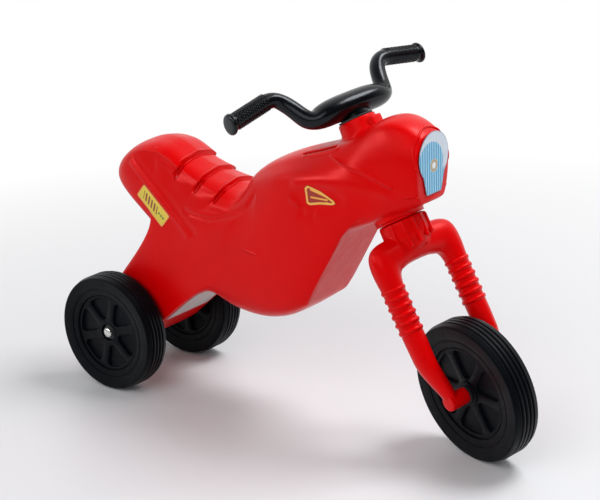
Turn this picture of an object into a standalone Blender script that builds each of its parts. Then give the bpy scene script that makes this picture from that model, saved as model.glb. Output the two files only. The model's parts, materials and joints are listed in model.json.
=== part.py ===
"""Kids ride-on motorcycle: a blow-moulded toy with a steering fork and three wheels.

Metres, +Z up, +X forward, +Y to the rider's left. The origin is on the ground under the
middle of the whole toy's box, with the steering turned as photographed. The body is built
from the middle of the rear axle, so its places are measured from there.
"""

import math

import bmesh
import bpy
from mathutils import Matrix, Vector

MM = 0.001

# Driving dimensions: where the middle of the rear axle is
REAR_AXLE_X = -284.3 * MM
REAR_AXLE_Y = -9.3 * MM

# Driving dimensions: wheels and what they turn on
REAR_WHEEL_RADIUS = 85 * MM
FRONT_WHEEL_RADIUS = 95.7 * MM
WHEEL_WIDTH = 38.7 * MM
REAR_HUB_LENGTH = 16 * MM
FRONT_HUB_LENGTH = 31 * MM
WHEEL_HUB_RADIUS = 17 * MM
WHEEL_RIM_WIDTH = 31 * MM
TREAD_GROOVE_DEPTH = 2 * MM
TREAD_GROOVE_WIDTH = 4.4 * MM
TREAD_GROOVES = 3
SPOKES = 6
SPOKE_WIDTH = 13 * MM
SPOKE_DEPTH = 6 * MM
AXLE_RADIUS = 4 * MM
BUSH_WALL = 3.2 * MM
BUSH_LENGTH = 7 * MM
BUSH_FLANGE_RADIUS = 11 * MM
BUSH_FLANGE_THICKNESS = 1.5 * MM
WASHER_RADIUS = 9.5 * MM
WASHER_THICKNESS = 1 * MM
SPACER_WALL = 4 * MM
SPACER_LENGTH = 13.5 * MM
CAP_RADIUS = 7.2 * MM
CAP_HEIGHT = 5.6 * MM
CAP_WALL = 1.2 * MM
FRONT_SOCKET_DEPTH = 20 * MM

# Driving dimensions: the body shell
BODY_WALL = 3 * MM
LEG_HALF = 57 * MM
SEAT_HALF = 36 * MM
TANK_HALF = 58 * MM
BELLY_HALF = 50 * MM
HEAD_FACE_HALF = 38 * MM
HEAD_FACE_X = 496 * MM
AXLE_SEAT_RADIUS = 17 * MM
AXLE_SEAT_DEPTH = 8 * MM

# Driving dimensions: the steering
RAKE = math.radians(28.5)
STEER_AT_REST = math.radians(-17.4)
STEERED_WHEEL_DROP = 0.4 * MM
NECK_FORWARD = 443.6 * MM
NECK_ABOVE_AXLE = 222.3 * MM
NECK_RADIUS = 33 * MM
NECK_BLOCK_DEPTH = 20 * MM
TOWER_HEIGHT = 137 * MM
TOWER_TOP_RADIUS = 25 * MM
TOWER_FOOT_RADIUS = 30 * MM
TOWER_LENGTH = 62 * MM
STOP_LENGTH = 24 * MM
STOP_WIDTH = 20 * MM
STOP_REACH = 14 * MM
STOP_DROP = 5 * MM
STOP_SINK = 6 * MM
STEM_RADIUS = 12 * MM
STEM_KEY_RADIUS = 11 * MM
STEM_KEY_LENGTH = 14 * MM
STEERING_BUSH_WALL = 3 * MM
STEERING_BUSH_LENGTH = 16 * MM
STEERING_FLANGE_THICKNESS = 2.5 * MM
BOLT_RADIUS = 3 * MM
BOLT_HEAD_RADIUS = 6 * MM
BOLT_HEAD_HEIGHT = 4 * MM
BOLT_WASHER_RADIUS = 8 * MM
BOLT_WASHER_THICKNESS = 1.2 * MM
NUT_HEIGHT = 5 * MM
NUT_POCKET_DEPTH = 12 * MM

# Driving dimensions: the fork
FORK_NECK_RADIUS = 31 * MM
FORK_NECK_LENGTH = 31 * MM
CROWN_TOP_DROP = 19.5 * MM
CROWN_THICKNESS = 39 * MM
CROWN_HALF_DEPTH = 17 * MM
LEG_SPREAD = 54 * MM
LEG_TUBE_RADIUS = 15.5 * MM
LEG_PLATE_HALF_DEPTH = 16 * MM
LEG_PLATE_HALF_WIDTH = 13.5 * MM
GAITER_RIBS = 6
GAITER_PITCH = 11 * MM
GAITER_RIB_HEIGHT = 1.8 * MM
GAITER_DROP = 81 * MM
FORK_BOSS_RADIUS = 11 * MM
FORK_BOSS_OUT = 48 * MM
LEG_TAPER_HEIGHT = 52 * MM

# Driving dimensions: the handlebar
BAR_HALF_WIDTH = 159 * MM
BAR_TUBE_RADIUS = 11.8 * MM
BAR_FLANGE_RADIUS = 14 * MM
BAR_FLANGE_THICKNESS = 6 * MM
BAR_BEND_SIDE = 86 * MM
BAR_RISE = 46.5 * MM
BAR_SWEEP = 25 * MM
BAR_END_DROP = 13 * MM
BAR_END_SWEEP = 6 * MM
CANOE_HALF_LENGTH = 63 * MM
CANOE_HALF_DEPTH = 20 * MM
CANOE_HALF_HEIGHT = 16 * MM
CANOE_ABOVE_TOWER = 20.5 * MM
BAR_SOCKET_RADIUS = 27 * MM
BOLT_RECESS_DEPTH = 7 * MM

# Driving dimensions: stickers
STICKER_THICKNESS = 0.5 * MM
STICKER_LIFT = 0.8 * MM
LENS_WIDTH = 65 * MM
LENS_HEIGHT = 80 * MM
LENS_TAB_WIDTH = 34 * MM
LENS_THICKNESS = 0.8 * MM
LENS_Z = 303 * MM
TAIL_PLATE_LENGTH = 62 * MM
TAIL_PLATE_WIDTH = 24 * MM
TAIL_PLATE_SLOPE = -40
TAIL_PLATE_X = 60 * MM
TAIL_PLATE_Z = 188 * MM
BADGE_LENGTH = 48 * MM
BADGE_HEIGHT = 28 * MM
BADGE_X = 358 * MM
BADGE_Z = 250 * MM
LABEL_LENGTH = 70 * MM
LABEL_MARGIN = 12 * MM
LABEL_SLOPE = math.radians(38.4)
LABEL_X = 106 * MM
LABEL_Z = 50 * MM

# Fits and mesh detail
GAP = 0.3 * MM
OVERLAP = 2 * MM
WHEEL_SEGMENTS = 24
ROUND_SEGMENTS = 16
STEM_SEGMENTS = 24
CAGE_LEVELS = 1
MERGE = 0.00001
FORK_RING_POINTS = 6
BAR_RING_POINTS = 8

# Places worked out from the sizes above
AXLE_MIDDLE = Vector((REAR_AXLE_X, REAR_AXLE_Y, REAR_WHEEL_RADIUS))
NECK_FROM_AXLE = Vector((NECK_FORWARD, 0, NECK_ABOVE_AXLE))
NECK_POINT = AXLE_MIDDLE + NECK_FROM_AXLE
FORK_REACH = (NECK_POINT.z - FRONT_WHEEL_RADIUS - STEERED_WHEEL_DROP) / math.cos(RAKE)
REAR_HUB_HALF = REAR_HUB_LENGTH / 2
FRONT_HUB_HALF = FRONT_HUB_LENGTH / 2
BUSH_RADIUS = AXLE_RADIUS + GAP + BUSH_WALL
HUB_BORE = BUSH_RADIUS + GAP
FLANGE_STEP = GAP + BUSH_FLANGE_THICKNESS
WASHER_STEP = GAP + WASHER_THICKNESS
LEG_BUSH_FACE = LEG_HALF + FLANGE_STEP
SPACER_FACE = LEG_BUSH_FACE + GAP + SPACER_LENGTH
REAR_WHEEL_SIDE = SPACER_FACE + FLANGE_STEP + GAP + REAR_HUB_HALF
CAP_FACE = REAR_HUB_HALF + FLANGE_STEP + WASHER_STEP + GAP
FORK_BOSS_IN = FRONT_HUB_HALF + FLANGE_STEP + WASHER_STEP + GAP
TUNNEL_RADIUS = STEM_RADIUS + GAP + STEERING_BUSH_WALL + GAP
STEERING_FLANGE_STEP = GAP + STEERING_FLANGE_THICKNESS
FORK_NECK_TOP = -STEERING_FLANGE_STEP - GAP
BAR_SOCKET_FOOT = TOWER_HEIGHT + STEERING_FLANGE_STEP + GAP
CANOE_LEVEL = TOWER_HEIGHT + CANOE_ABOVE_TOWER
STEM_TOP = BAR_SOCKET_FOOT + STEM_KEY_LENGTH
BOLT_SEAT = CANOE_LEVEL + CANOE_HALF_HEIGHT - BOLT_RECESS_DEPTH
CROWN_FOOT = -CROWN_TOP_DROP - CROWN_THICKNESS
NUT_SEAT = CROWN_FOOT + NUT_POCKET_DEPTH


def clear_scene():
    for item in list(bpy.data.objects):
        bpy.data.objects.remove(item, do_unlink=True)


def new_collection(name):
    collection = bpy.data.collections.new(name)
    bpy.context.scene.collection.children.link(collection)
    return collection


def material(name, colour, roughness, metallic=0.0):
    surface = bpy.data.materials.new(name)
    surface.use_nodes = True
    shader = surface.node_tree.nodes["Principled BSDF"]
    shader.inputs["Base Color"].default_value = (*colour, 1.0)
    shader.inputs["Roughness"].default_value = roughness
    shader.inputs["Metallic"].default_value = metallic
    surface.diffuse_color = (*colour, 1.0)
    return surface


clear_scene()
PARTS = new_collection("ride_on_motorcycle")
CUTTERS = new_collection("cutters")
RED = material("red_polyethylene", (0.60, 0.006, 0.008), 0.30)
BLACK = material("black_polyethylene", (0.012, 0.012, 0.013), 0.42)
BAR_BLACK = material("black_gloss_polyethylene", (0.009, 0.009, 0.010), 0.25)
NYLON = material("black_nylon", (0.02, 0.02, 0.02), 0.5)
STEEL = material("zinc_plated_steel", (0.62, 0.62, 0.60), 0.28, 1.0)
YELLOW = material("yellow_vinyl", (0.88, 0.60, 0.06), 0.35)
LENS = material("light_blue_vinyl", (0.25, 0.52, 0.72), 0.35)
PALE = material("pale_vinyl", (0.72, 0.70, 0.69), 0.4)


# Frames that the pieces hang on
def empty(name, location, rotation=None, parent=None):
    guide = bpy.data.objects.new(name, None)
    PARTS.objects.link(guide)
    guide.parent = parent
    guide.location = location
    if rotation is not None:
        guide.rotation_euler = rotation.to_euler()
    return guide


STEERING_TURN = Matrix.Rotation(-RAKE, 4, "Y") @ Matrix.Rotation(STEER_AT_REST, 4, "Z")
RIGHT_OUT = Matrix.Rotation(math.pi / 2, 4, "X")
LEFT_OUT = Matrix.Rotation(-math.pi / 2, 4, "X")
SIDES = {"right": (-1, RIGHT_OUT), "left": (1, LEFT_OUT)}

FRAME = empty("rear_axle_middle", AXLE_MIDDLE)
STEERING = empty("steering_axis", NECK_POINT, STEERING_TURN)
FRONT_HUB = empty("front_wheel_axis", (0, 0, -FORK_REACH), parent=STEERING)


def place(item, surface, parent, location=(0, 0, 0), turn=None, collection=PARTS):
    collection.objects.link(item)
    item.parent = parent
    item.location = location
    if turn is not None:
        item.rotation_euler = turn.to_euler()
    item.data.materials.clear()
    item.data.materials.append(surface)
    return item


def as_cutter(item):
    item.hide_render = True
    item.display_type = "WIRE"
    return item


def cutter_place(item, parent, location=(0, 0, 0), turn=None):
    return as_cutter(place(item, RED, parent, location, turn, CUTTERS))


def boolean(item, other, operation):
    modifier = item.modifiers.new(other.name, "BOOLEAN")
    modifier.operation = operation
    modifier.solver = "EXACT"
    modifier.object = other


def smooth(item, angle=35):
    item.data.shade_smooth()
    item.data.set_sharp_from_angle(angle=math.radians(angle))


# A turned shape: the profile runs down its outer side, and closes on itself or on the axis
def turned(name, profile, segments=ROUND_SEGMENTS):
    mesh = bpy.data.meshes.new(name)
    points = [(radius, 0, height) for radius, height in profile]
    edges = [(i, i + 1) for i in range(len(points) - 1)]
    if profile[0][0] > 0:
        edges.append((len(points) - 1, 0))
    mesh.from_pydata(points, edges, [])
    item = bpy.data.objects.new(name, mesh)
    screw = item.modifiers.new("turn", "SCREW")
    screw.axis = "Z"
    screw.steps = segments
    screw.render_steps = segments
    screw.use_merge_vertices = True
    screw.merge_threshold = MERGE
    screw.use_smooth_shade = False
    return item


def ring_profile(inner, outer, low, high):
    return [(outer, high), (outer, low), (inner, low), (inner, high)]


def ring(name, inner, outer, low, high, segments=ROUND_SEGMENTS):
    return turned(name, ring_profile(inner, outer, low, high), segments)


def rod(name, radius, low, high, segments=ROUND_SEGMENTS, foot_radius=None):
    mesh = bpy.data.meshes.new(name)
    shape = bmesh.new()
    bmesh.ops.create_cone(shape, cap_ends=True, segments=segments, depth=high - low,
                          radius1=foot_radius or radius, radius2=radius,
                          matrix=Matrix.Translation((0, 0, (high + low) / 2)))
    shape.to_mesh(mesh)
    shape.free()
    return bpy.data.objects.new(name, mesh)


def box(name, size):
    mesh = bpy.data.meshes.new(name)
    shape = bmesh.new()
    bmesh.ops.create_cube(shape, size=1.0, matrix=Matrix.Diagonal((*size, 1)))
    shape.to_mesh(mesh)
    shape.free()
    return bpy.data.objects.new(name, mesh)


# A flat outline as a filled 2D curve in the XY plane, made a mesh
def plate(name, outline, thickness):
    curve = bpy.data.curves.new(name, "CURVE")
    curve.dimensions = "2D"
    curve.fill_mode = "BOTH"
    curve.extrude = thickness / 2
    spline = curve.splines.new("POLY")
    spline.points.add(len(outline) - 1)
    for point, (x, y) in zip(spline.points, outline):
        point.co = (x, y, 0, 1)
    spline.use_cyclic_u = True
    guide = bpy.data.objects.new(name, curve)
    PARTS.objects.link(guide)
    bpy.context.view_layer.update()
    mesh = bpy.data.meshes.new_from_object(guide.evaluated_get(bpy.context.evaluated_depsgraph_get()))
    bpy.data.objects.remove(guide, do_unlink=True)
    shape = bmesh.new()
    shape.from_mesh(mesh)
    bmesh.ops.remove_doubles(shape, verts=shape.verts, dist=MERGE)
    bmesh.ops.recalc_face_normals(shape, faces=shape.faces)
    shape.to_mesh(mesh)
    shape.free()
    mesh.name = name
    return bpy.data.objects.new(name, mesh)


def arc(centre, radius, start, end, count):
    angles = [math.radians(start + (end - start) * i / count) for i in range(count + 1)]
    return [(centre[0] + radius * math.cos(a), centre[1] + radius * math.sin(a)) for a in angles]


def rounded_rectangle(length, width, radius):
    x, y = length / 2 - radius, width / 2 - radius
    corners = [((x, y), 0), ((-x, y), 90), ((-x, -y), 180), ((x, -y), 270)]
    outline = []
    for centre, start in corners:
        outline += arc(centre, radius, start, start + 90, 4)
    return outline


# A cage of rings, skinned with four-sided faces, that Subdivision Surface rounds
def cage(name, rings, closed_rings, cap_start=False, cap_end=False):
    mesh = bpy.data.meshes.new(name)
    count = len(rings[0])
    points = [tuple(point) for section in rings for point in section]
    faces = []
    steps = count if closed_rings else count - 1
    for i in range(len(rings) - 1):
        for j in range(steps):
            k = (j + 1) % count
            faces.append((i * count + j, (i + 1) * count + j, (i + 1) * count + k, i * count + k))
    if cap_start:
        faces.append(tuple(range(count)))
    if cap_end:
        faces.append(tuple(reversed(range((len(rings) - 1) * count, len(rings) * count))))
    mesh.from_pydata(points, [], faces)
    mesh.update()
    return bpy.data.objects.new(name, mesh)


def mirror(item):
    modifier = item.modifiers.new("mirror", "MIRROR")
    modifier.use_axis = (False, True, False)
    modifier.merge_threshold = MERGE
    modifier.use_clip = True


def subdivide(item):
    modifier = item.modifiers.new("round", "SUBSURF")
    modifier.levels = CAGE_LEVELS
    modifier.render_levels = CAGE_LEVELS


def set_creases(mesh, wanted):
    layer = mesh.attributes.new("crease_edge", "FLOAT", "EDGE")
    for edge in mesh.edges:
        layer.data[edge.index].value = wanted.get(tuple(sorted(edge.vertices)), 0.0)


# Body shell cage. Each station is one line down the side of the body, from the top of
# the parting line to its bottom. Lengths in mm: x forward of the rear axle, y out from
# the middle, z above the rear axle. The lens lies 0.2 mm off the head's flat face.
SEAT = SEAT_HALF / MM
TANK = TANK_HALF / MM
BELLY = BELLY_HALF / MM
LEG = LEG_HALF / MM
FACE = HEAD_FACE_HALF / MM
FRONT = HEAD_FACE_X / MM - 0.2
EDGE = 9


def station(top, crown, top_half, shoulder, hip, knee, low_half, bottom, low_edge=EDGE, top_edge=EDGE):
    x, z = top
    first = Vector((x, 0, z))
    second = Vector((x, top_half - top_edge, z - crown))
    down = (Vector((shoulder[0], 0, shoulder[2])) - Vector((x, 0, z - crown))).normalized()
    third = Vector((x, top_half, z - crown)) + down * top_edge
    x, z = bottom
    up = (Vector((knee[0], 0, knee[2])) - Vector((x, 0, z))).normalized()
    seventh = Vector((x, low_half, z)) + up * low_edge
    eighth = Vector((x, low_half - low_edge, z))
    flank = [Vector(shoulder), Vector(hip), Vector(knee)]
    return [first, second, third] + flank + [seventh, eighth, Vector((x, 0, z))]


def parting_line(points):
    return [Vector((x, 0, z)) for x, z in points]


def body_stations():
    return [
        parting_line([(-21, 241), (-26, 237), (-31, 232), (-34, 226), (-35, 220),
                      (-34, 215), (-32, 211), (-30, 209), (-26, 208)]),
        station((-4, 253), 2, SEAT - 1, (-13, SEAT + 3, 239), (-19, SEAT + 5, 228),
                (-20, SEAT + 5, 218), SEAT + 3, (-13, 206), 6),
        station((14, 269), 3, SEAT + 4, (12, SEAT + 10, 245), (10, SEAT + 12, 225),
                (11, SEAT + 12, 205), SEAT + 11, (20, 184), 6),
        station((46, 280), 5, SEAT + 5, (48, SEAT + 7, 250), (53, SEAT + 12, 217),
                (56, SEAT + 13, 188), SEAT + 13, (57, 156), 6),
        station((78, 278), 5, SEAT + 4, (80, SEAT + 5, 245), (86, SEAT + 13, 194),
                (70, SEAT + 17, 142), LEG - 3, (10, 98), 6),
        station((106, 258), 5, SEAT + 3, (107, SEAT + 6, 228), (114, SEAT + 15, 179),
                (88, LEG - 4, 118), LEG, (-33, 48), 6),
        station((142, 243), 5, SEAT + 3, (141, SEAT + 8, 217), (142, SEAT + 17, 178),
                (104, LEG - 3, 104), LEG, (-47, 2), 6),
        station((177, 233), 5, SEAT + 3, (174, SEAT + 8, 211), (168, SEAT + 18, 178),
                (118, LEG - 3, 98), LEG, (-20, -36), 6),
        station((199, 228), 5, SEAT + 2, (200, SEAT + 9, 209), (193, SEAT + 19, 182),
                (134, LEG - 3, 98), LEG, (26, -22), 6),
        station((210, 233), 4, SEAT + 1, (217, SEAT + 11, 222), (217, SEAT + 20, 190),
                (150, LEG - 2, 100), LEG, (58, 10), 6),
        station((222, 255), 3, SEAT, (232, SEAT + 13, 236), (240, TANK - 3, 198),
                (168, LEG - 1, 108), LEG, (106, 50), 6),
        station((252, 277), 4, SEAT + 2, (262, TANK - 5, 256), (266, TANK, 205),
                (196, LEG, 114), LEG - 2, (152, 87), 8),
        station((300, 298), 5, SEAT + 4, (303, TANK - 1, 270), (303, TANK + 1, 216),
                (226, LEG + 1, 111), BELLY + 2, (168, 54), 24),
        station((345, 311), 5, SEAT + 3, (347, TANK, 276), (342, TANK, 222),
                (266, LEG, 115), BELLY + 3, (238, 46), 24),
        station((385, 326), 5, SEAT + 2, (390, TANK - 3, 282), (376, TANK - 3, 228),
                (304, BELLY + 6, 125), BELLY + 3, (292, 65), 16),
        station((417, 349), 4, SEAT + 1, (424, TANK - 7, 293), (404, TANK - 7, 232),
                (346, BELLY + 3, 150), BELLY + 1, (324, 90), 8),
        station((446, 362), 4, SEAT, (450, TANK - 11, 306), (430, TANK - 13, 254),
                (404, BELLY - 3, 226), BELLY - 5, (388, 203), 8),
        station((FRONT - 20, 354), 4, SEAT - 4, (FRONT - 16, FACE + 6, 314), (FRONT - 23, FACE + 4, 272),
                (FRONT - 36, FACE, 248), FACE - 3, (FRONT - 50, 227), 8),
        station((FRONT - 3, 341), 3, FACE - 14, (FRONT - 1, FACE - 1, 313), (FRONT - 1, FACE - 2, 284),
                (FRONT - 2, FACE - 4, 268), FACE - 8, (FRONT - 1, 253), 5, 5),
        parting_line([(FRONT - 2.5, 339), (FRONT - 1.5, 332), (FRONT - 0.5, 324), (FRONT, 312), (FRONT, 284),
                      (FRONT - 0.5, 270), (FRONT - 0.5, 265), (FRONT + 2, 259), (FRONT - 0.5, 254)]),
    ]


# Edges of the cage that stay crisp: one row of points between two stations
CRISP_ROWS = [
    ("tail panel ridge", 4, 1, 4, 0.5),
    ("seat skirt", 4, 5, 9, 0.35),
    ("seat edge", 2, 2, 9, 0.3),
    ("tank shoulder", 3, 11, 15, 0.3),
    ("leg rear and lower edge", 7, 3, 11, 0.35),
    ("belly face side", 7, 15, 16, 0.9),
    ("belly face lower side", 6, 15, 16, 0.5),
]
# Stations whose own line stays crisp between two rows
CRISP_STATIONS = [
    ("notch between tail and leg", 3, 5, 8, 0.6),
    ("belly face foot", 15, 6, 8, 0.8),
    ("belly face top", 16, 5, 8, 0.8),
    ("tank back foot", 9, 0, 3, 0.3),
    ("head face rim", 18, 0, 8, 0.75),
]


def body_creases(rows):
    wanted = {}
    for _, row, first, last, strength in CRISP_ROWS:
        for i in range(first, last):
            wanted[(i * rows + row, (i + 1) * rows + row)] = strength
    for _, place_index, first, last, strength in CRISP_STATIONS:
        for j in range(first, last):
            wanted[(place_index * rows + j, place_index * rows + j + 1)] = strength
    return wanted


def body_cage(name):
    rings = [[point * MM for point in line] for line in body_stations()]
    item = cage(name, rings, closed_rings=False)
    set_creases(item.data, body_creases(len(rings[0])))
    mirror(item)
    subdivide(item)
    return item


def to_steering(point):
    return NECK_FROM_AXLE + Matrix.Rotation(-RAKE, 3, "Y") @ Vector(point)


# Body shell: cage skin, tower and neck block joined on, then the hollow and the bores cut
def make_body_shell():
    raked = Matrix.Rotation(-RAKE, 4, "Y")
    neck = to_steering((0, 0, 0))
    body = place(body_cage("body_shell"), RED, FRAME)

    tower_foot = TOWER_HEIGHT - TOWER_LENGTH
    tower = rod("tower", TOWER_TOP_RADIUS, tower_foot, TOWER_HEIGHT, foot_radius=TOWER_FOOT_RADIUS)
    boolean(body, cutter_place(tower, FRAME, neck, raked), "UNION")
    stop = box("steering_stop", (STOP_REACH * 2, STOP_WIDTH, STOP_LENGTH))
    stop_place = to_steering((TOWER_TOP_RADIUS - STOP_SINK, 0, TOWER_HEIGHT - STOP_DROP - STOP_LENGTH / 2))
    boolean(body, cutter_place(stop, FRAME, stop_place, raked), "UNION")

    hollow = cutter_place(body_cage("hollow"), FRAME)
    inset = hollow.modifiers.new("inset", "DISPLACE")
    inset.strength = -BODY_WALL
    inset.mid_level = 0
    wall = TUNNEL_RADIUS + BODY_WALL
    tunnel_wall = rod("tunnel_wall", wall, -NECK_BLOCK_DEPTH, TOWER_HEIGHT, STEM_SEGMENTS)
    boolean(hollow, cutter_place(tunnel_wall, FRAME, neck, raked), "DIFFERENCE")
    neck_wall = rod("neck_wall", NECK_RADIUS, -NECK_BLOCK_DEPTH, NECK_BLOCK_DEPTH)
    boolean(hollow, cutter_place(neck_wall, FRAME, neck, raked), "DIFFERENCE")
    for side, (sign, turn) in SIDES.items():
        seat = rod(f"axle_seat_hollow_{side}", AXLE_SEAT_RADIUS, -AXLE_SEAT_DEPTH, OVERLAP)
        boolean(hollow, cutter_place(seat, FRAME, (0, sign * LEG_HALF, 0), turn), "DIFFERENCE")
    boolean(body, hollow, "DIFFERENCE")

    neck_block = rod("neck_block", NECK_RADIUS, -OVERLAP, NECK_BLOCK_DEPTH - OVERLAP)
    boolean(body, cutter_place(neck_block, FRAME, neck, raked), "UNION")
    for side, (sign, turn) in SIDES.items():
        seat = rod(f"axle_seat_{side}", AXLE_SEAT_RADIUS - OVERLAP / 2, OVERLAP / 2 - AXLE_SEAT_DEPTH, 0)
        boolean(body, cutter_place(seat, FRAME, (0, sign * LEG_HALF, 0), turn), "UNION")
        relief = rod(f"axle_face_{side}", AXLE_SEAT_RADIUS + OVERLAP, 0, SPACER_LENGTH)
        boolean(body, cutter_place(relief, FRAME, (0, sign * LEG_HALF, 0), turn), "DIFFERENCE")
    neck_face = rod("neck_face", NECK_RADIUS + OVERLAP, -CROWN_THICKNESS, 0)
    boolean(body, cutter_place(neck_face, FRAME, neck, raked), "DIFFERENCE")
    tunnel = rod("tunnel", TUNNEL_RADIUS, -CROWN_THICKNESS, TOWER_HEIGHT + CROWN_THICKNESS, STEM_SEGMENTS)
    boolean(body, cutter_place(tunnel, FRAME, neck, raked), "DIFFERENCE")
    axle_bore = rod("axle_bore", HUB_BORE, -LEG_HALF - CROWN_THICKNESS, LEG_HALF + CROWN_THICKNESS)
    boolean(body, cutter_place(axle_bore, FRAME, (0, 0, 0), RIGHT_OUT), "DIFFERENCE")
    return body


# Wheels: turned tyre and web with tread grooves, and pockets that leave the spokes
def tread(radius):
    shoulder = WHEEL_WIDTH / 2 - 3 * MM
    points = [(radius * 0.955, WHEEL_WIDTH / 2), (radius * 0.985, shoulder)]
    for i in range(TREAD_GROOVES):
        middle = shoulder * (1 - 2 * (i + 1) / (TREAD_GROOVES + 1))
        points += [
            (radius, middle + TREAD_GROOVE_WIDTH / 2),
            (radius - TREAD_GROOVE_DEPTH, middle),
            (radius, middle - TREAD_GROOVE_WIDTH / 2),
        ]
    return points + [(radius * 0.985, -shoulder), (radius * 0.955, -WHEEL_WIDTH / 2)]


def wheel_profile(radius, hub_half):
    dish = radius * 0.64
    web = WHEEL_RIM_WIDTH / 2 - SPOKE_DEPTH / 2
    face = [
        (HUB_BORE, hub_half),
        (WHEEL_HUB_RADIUS, hub_half),
        (WHEEL_HUB_RADIUS + 2 * MM, web),
        (dish - 3 * MM, web),
        (dish, WHEEL_RIM_WIDTH / 2),
        (radius * 0.90, WHEEL_WIDTH / 2 - 1 * MM),
    ]
    back = [(r, -z) for r, z in reversed(face)]
    return face + tread(radius) + back


def spoke_pockets(name, radius):
    inner = WHEEL_HUB_RADIUS + 5 * MM
    outer = radius * 0.64 - 5 * MM
    step = math.pi / SPOKES
    lean_in = step - math.asin(SPOKE_WIDTH / 2 / inner)
    lean_out = step - math.asin(SPOKE_WIDTH / 2 / outer)
    outline = arc((0, 0), inner, -math.degrees(lean_in), math.degrees(lean_in), 1)
    outline += arc((0, 0), outer, math.degrees(lean_out), -math.degrees(lean_out), 3)
    wedge = plate(name, outline, SPOKE_DEPTH * 2)
    web = WHEEL_RIM_WIDTH / 2 - SPOKE_DEPTH / 2
    shape = bmesh.new()
    for side in (-1, 1):
        for i in range(SPOKES):
            copy = wedge.data.copy()
            turn = Matrix.Rotation(2 * step * i + step / 2, 4, "Z")
            copy.transform(Matrix.Translation((0, 0, side * web)) @ turn)
            shape.from_mesh(copy)
            bpy.data.meshes.remove(copy)
    shape.to_mesh(wedge.data)
    shape.free()
    return wedge


def make_wheel(name, radius, hub_half, parent, location=(0, 0, 0)):
    disc = turned(name, wheel_profile(radius, hub_half), WHEEL_SEGMENTS)
    wheel = place(disc, BLACK, parent, location, RIGHT_OUT)
    pockets = cutter_place(spoke_pockets(f"{name}_pockets", radius), parent, location, RIGHT_OUT)
    boolean(wheel, pockets, "DIFFERENCE")
    return wheel


# A flanged sleeve: its flange foot is at height 0, the flange above and the sleeve below
def flanged_bush(name, bore, sleeve, flange, flange_thickness, length, segments=ROUND_SEGMENTS):
    profile = [
        (flange, flange_thickness),
        (flange, 0),
        (sleeve, 0),
        (sleeve, -length),
        (bore, -length),
        (bore, flange_thickness),
    ]
    return turned(name, profile, segments)


def axle_bush(name, parent, location, turn):
    bore = AXLE_RADIUS + GAP
    bush = flanged_bush(name, bore, BUSH_RADIUS, BUSH_FLANGE_RADIUS, BUSH_FLANGE_THICKNESS, BUSH_LENGTH)
    return place(bush, NYLON, parent, location, turn)


def make_rear_wheels():
    for side, (sign, out) in SIDES.items():
        centre = sign * REAR_WHEEL_SIDE
        make_wheel(f"rear_wheel_{side}", REAR_WHEEL_RADIUS, REAR_HUB_HALF, FRAME, (0, centre, 0))
        inward = SIDES["left" if side == "right" else "right"][1]
        outer_seat = centre + sign * (REAR_HUB_HALF + GAP)
        inner_seat = centre - sign * (REAR_HUB_HALF + GAP)
        axle_bush(f"rear_wheel_{side}_outer_bush", FRAME, (0, outer_seat, 0), out)
        axle_bush(f"rear_wheel_{side}_inner_bush", FRAME, (0, inner_seat, 0), inward)


def cap_profile():
    bore = AXLE_RADIUS + GAP
    depth = CAP_HEIGHT - CAP_WALL
    dome = [(CAP_RADIUS * math.cos(a), CAP_HEIGHT - 3 * MM + 3 * MM * math.sin(a))
            for a in (math.radians(15 * i) for i in range(5, 0, -1))]
    wall = [(CAP_RADIUS, CAP_HEIGHT - 3 * MM), (CAP_RADIUS, 0), (bore, 0), (bore, depth), (0, depth)]
    return [(0, CAP_HEIGHT)] + dome + wall


def make_rear_axle():
    bore = AXLE_RADIUS + GAP
    half = REAR_WHEEL_SIDE + CAP_FACE + CAP_HEIGHT - CAP_WALL - GAP
    place(rod("rear_axle", AXLE_RADIUS, -half, half), STEEL, FRAME, (0, 0, 0), RIGHT_OUT)
    for side, (sign, out) in SIDES.items():
        axle_bush(f"rear_axle_bush_{side}", FRAME, (0, sign * (LEG_HALF + GAP), 0), out)
        spacer = ring(f"rear_spacer_{side}", bore, bore + SPACER_WALL, 0, SPACER_LENGTH)
        place(spacer, NYLON, FRAME, (0, sign * (LEG_BUSH_FACE + GAP), 0), out)
        washer = ring(f"rear_axle_washer_{side}", bore, WASHER_RADIUS, 0, WASHER_THICKNESS)
        washer_seat = REAR_WHEEL_SIDE + REAR_HUB_HALF + FLANGE_STEP + GAP
        place(washer, NYLON, FRAME, (0, sign * washer_seat, 0), out)
        cap = turned(f"rear_axle_cap_{side}", cap_profile())
        place(cap, STEEL, FRAME, (0, sign * (REAR_WHEEL_SIDE + CAP_FACE), 0), out)


# Front wheel: the axle sits in a blind socket in each fork boss
def make_front_wheel():
    make_wheel("front_wheel", FRONT_WHEEL_RADIUS, FRONT_HUB_HALF, FRONT_HUB)
    half = FORK_BOSS_IN + FRONT_SOCKET_DEPTH - GAP
    place(rod("front_axle", AXLE_RADIUS, -half, half), STEEL, FRONT_HUB, (0, 0, 0), RIGHT_OUT)
    for side, (sign, out) in SIDES.items():
        axle_bush(f"front_wheel_bush_{side}", FRONT_HUB, (0, sign * (FRONT_HUB_HALF + GAP), 0), out)
        washer = ring(f"front_washer_{side}", AXLE_RADIUS + GAP, WASHER_RADIUS, 0, WASHER_THICKNESS)
        washer_seat = FRONT_HUB_HALF + FLANGE_STEP + GAP
        place(washer, NYLON, FRONT_HUB, (0, sign * washer_seat, 0), out)


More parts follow.
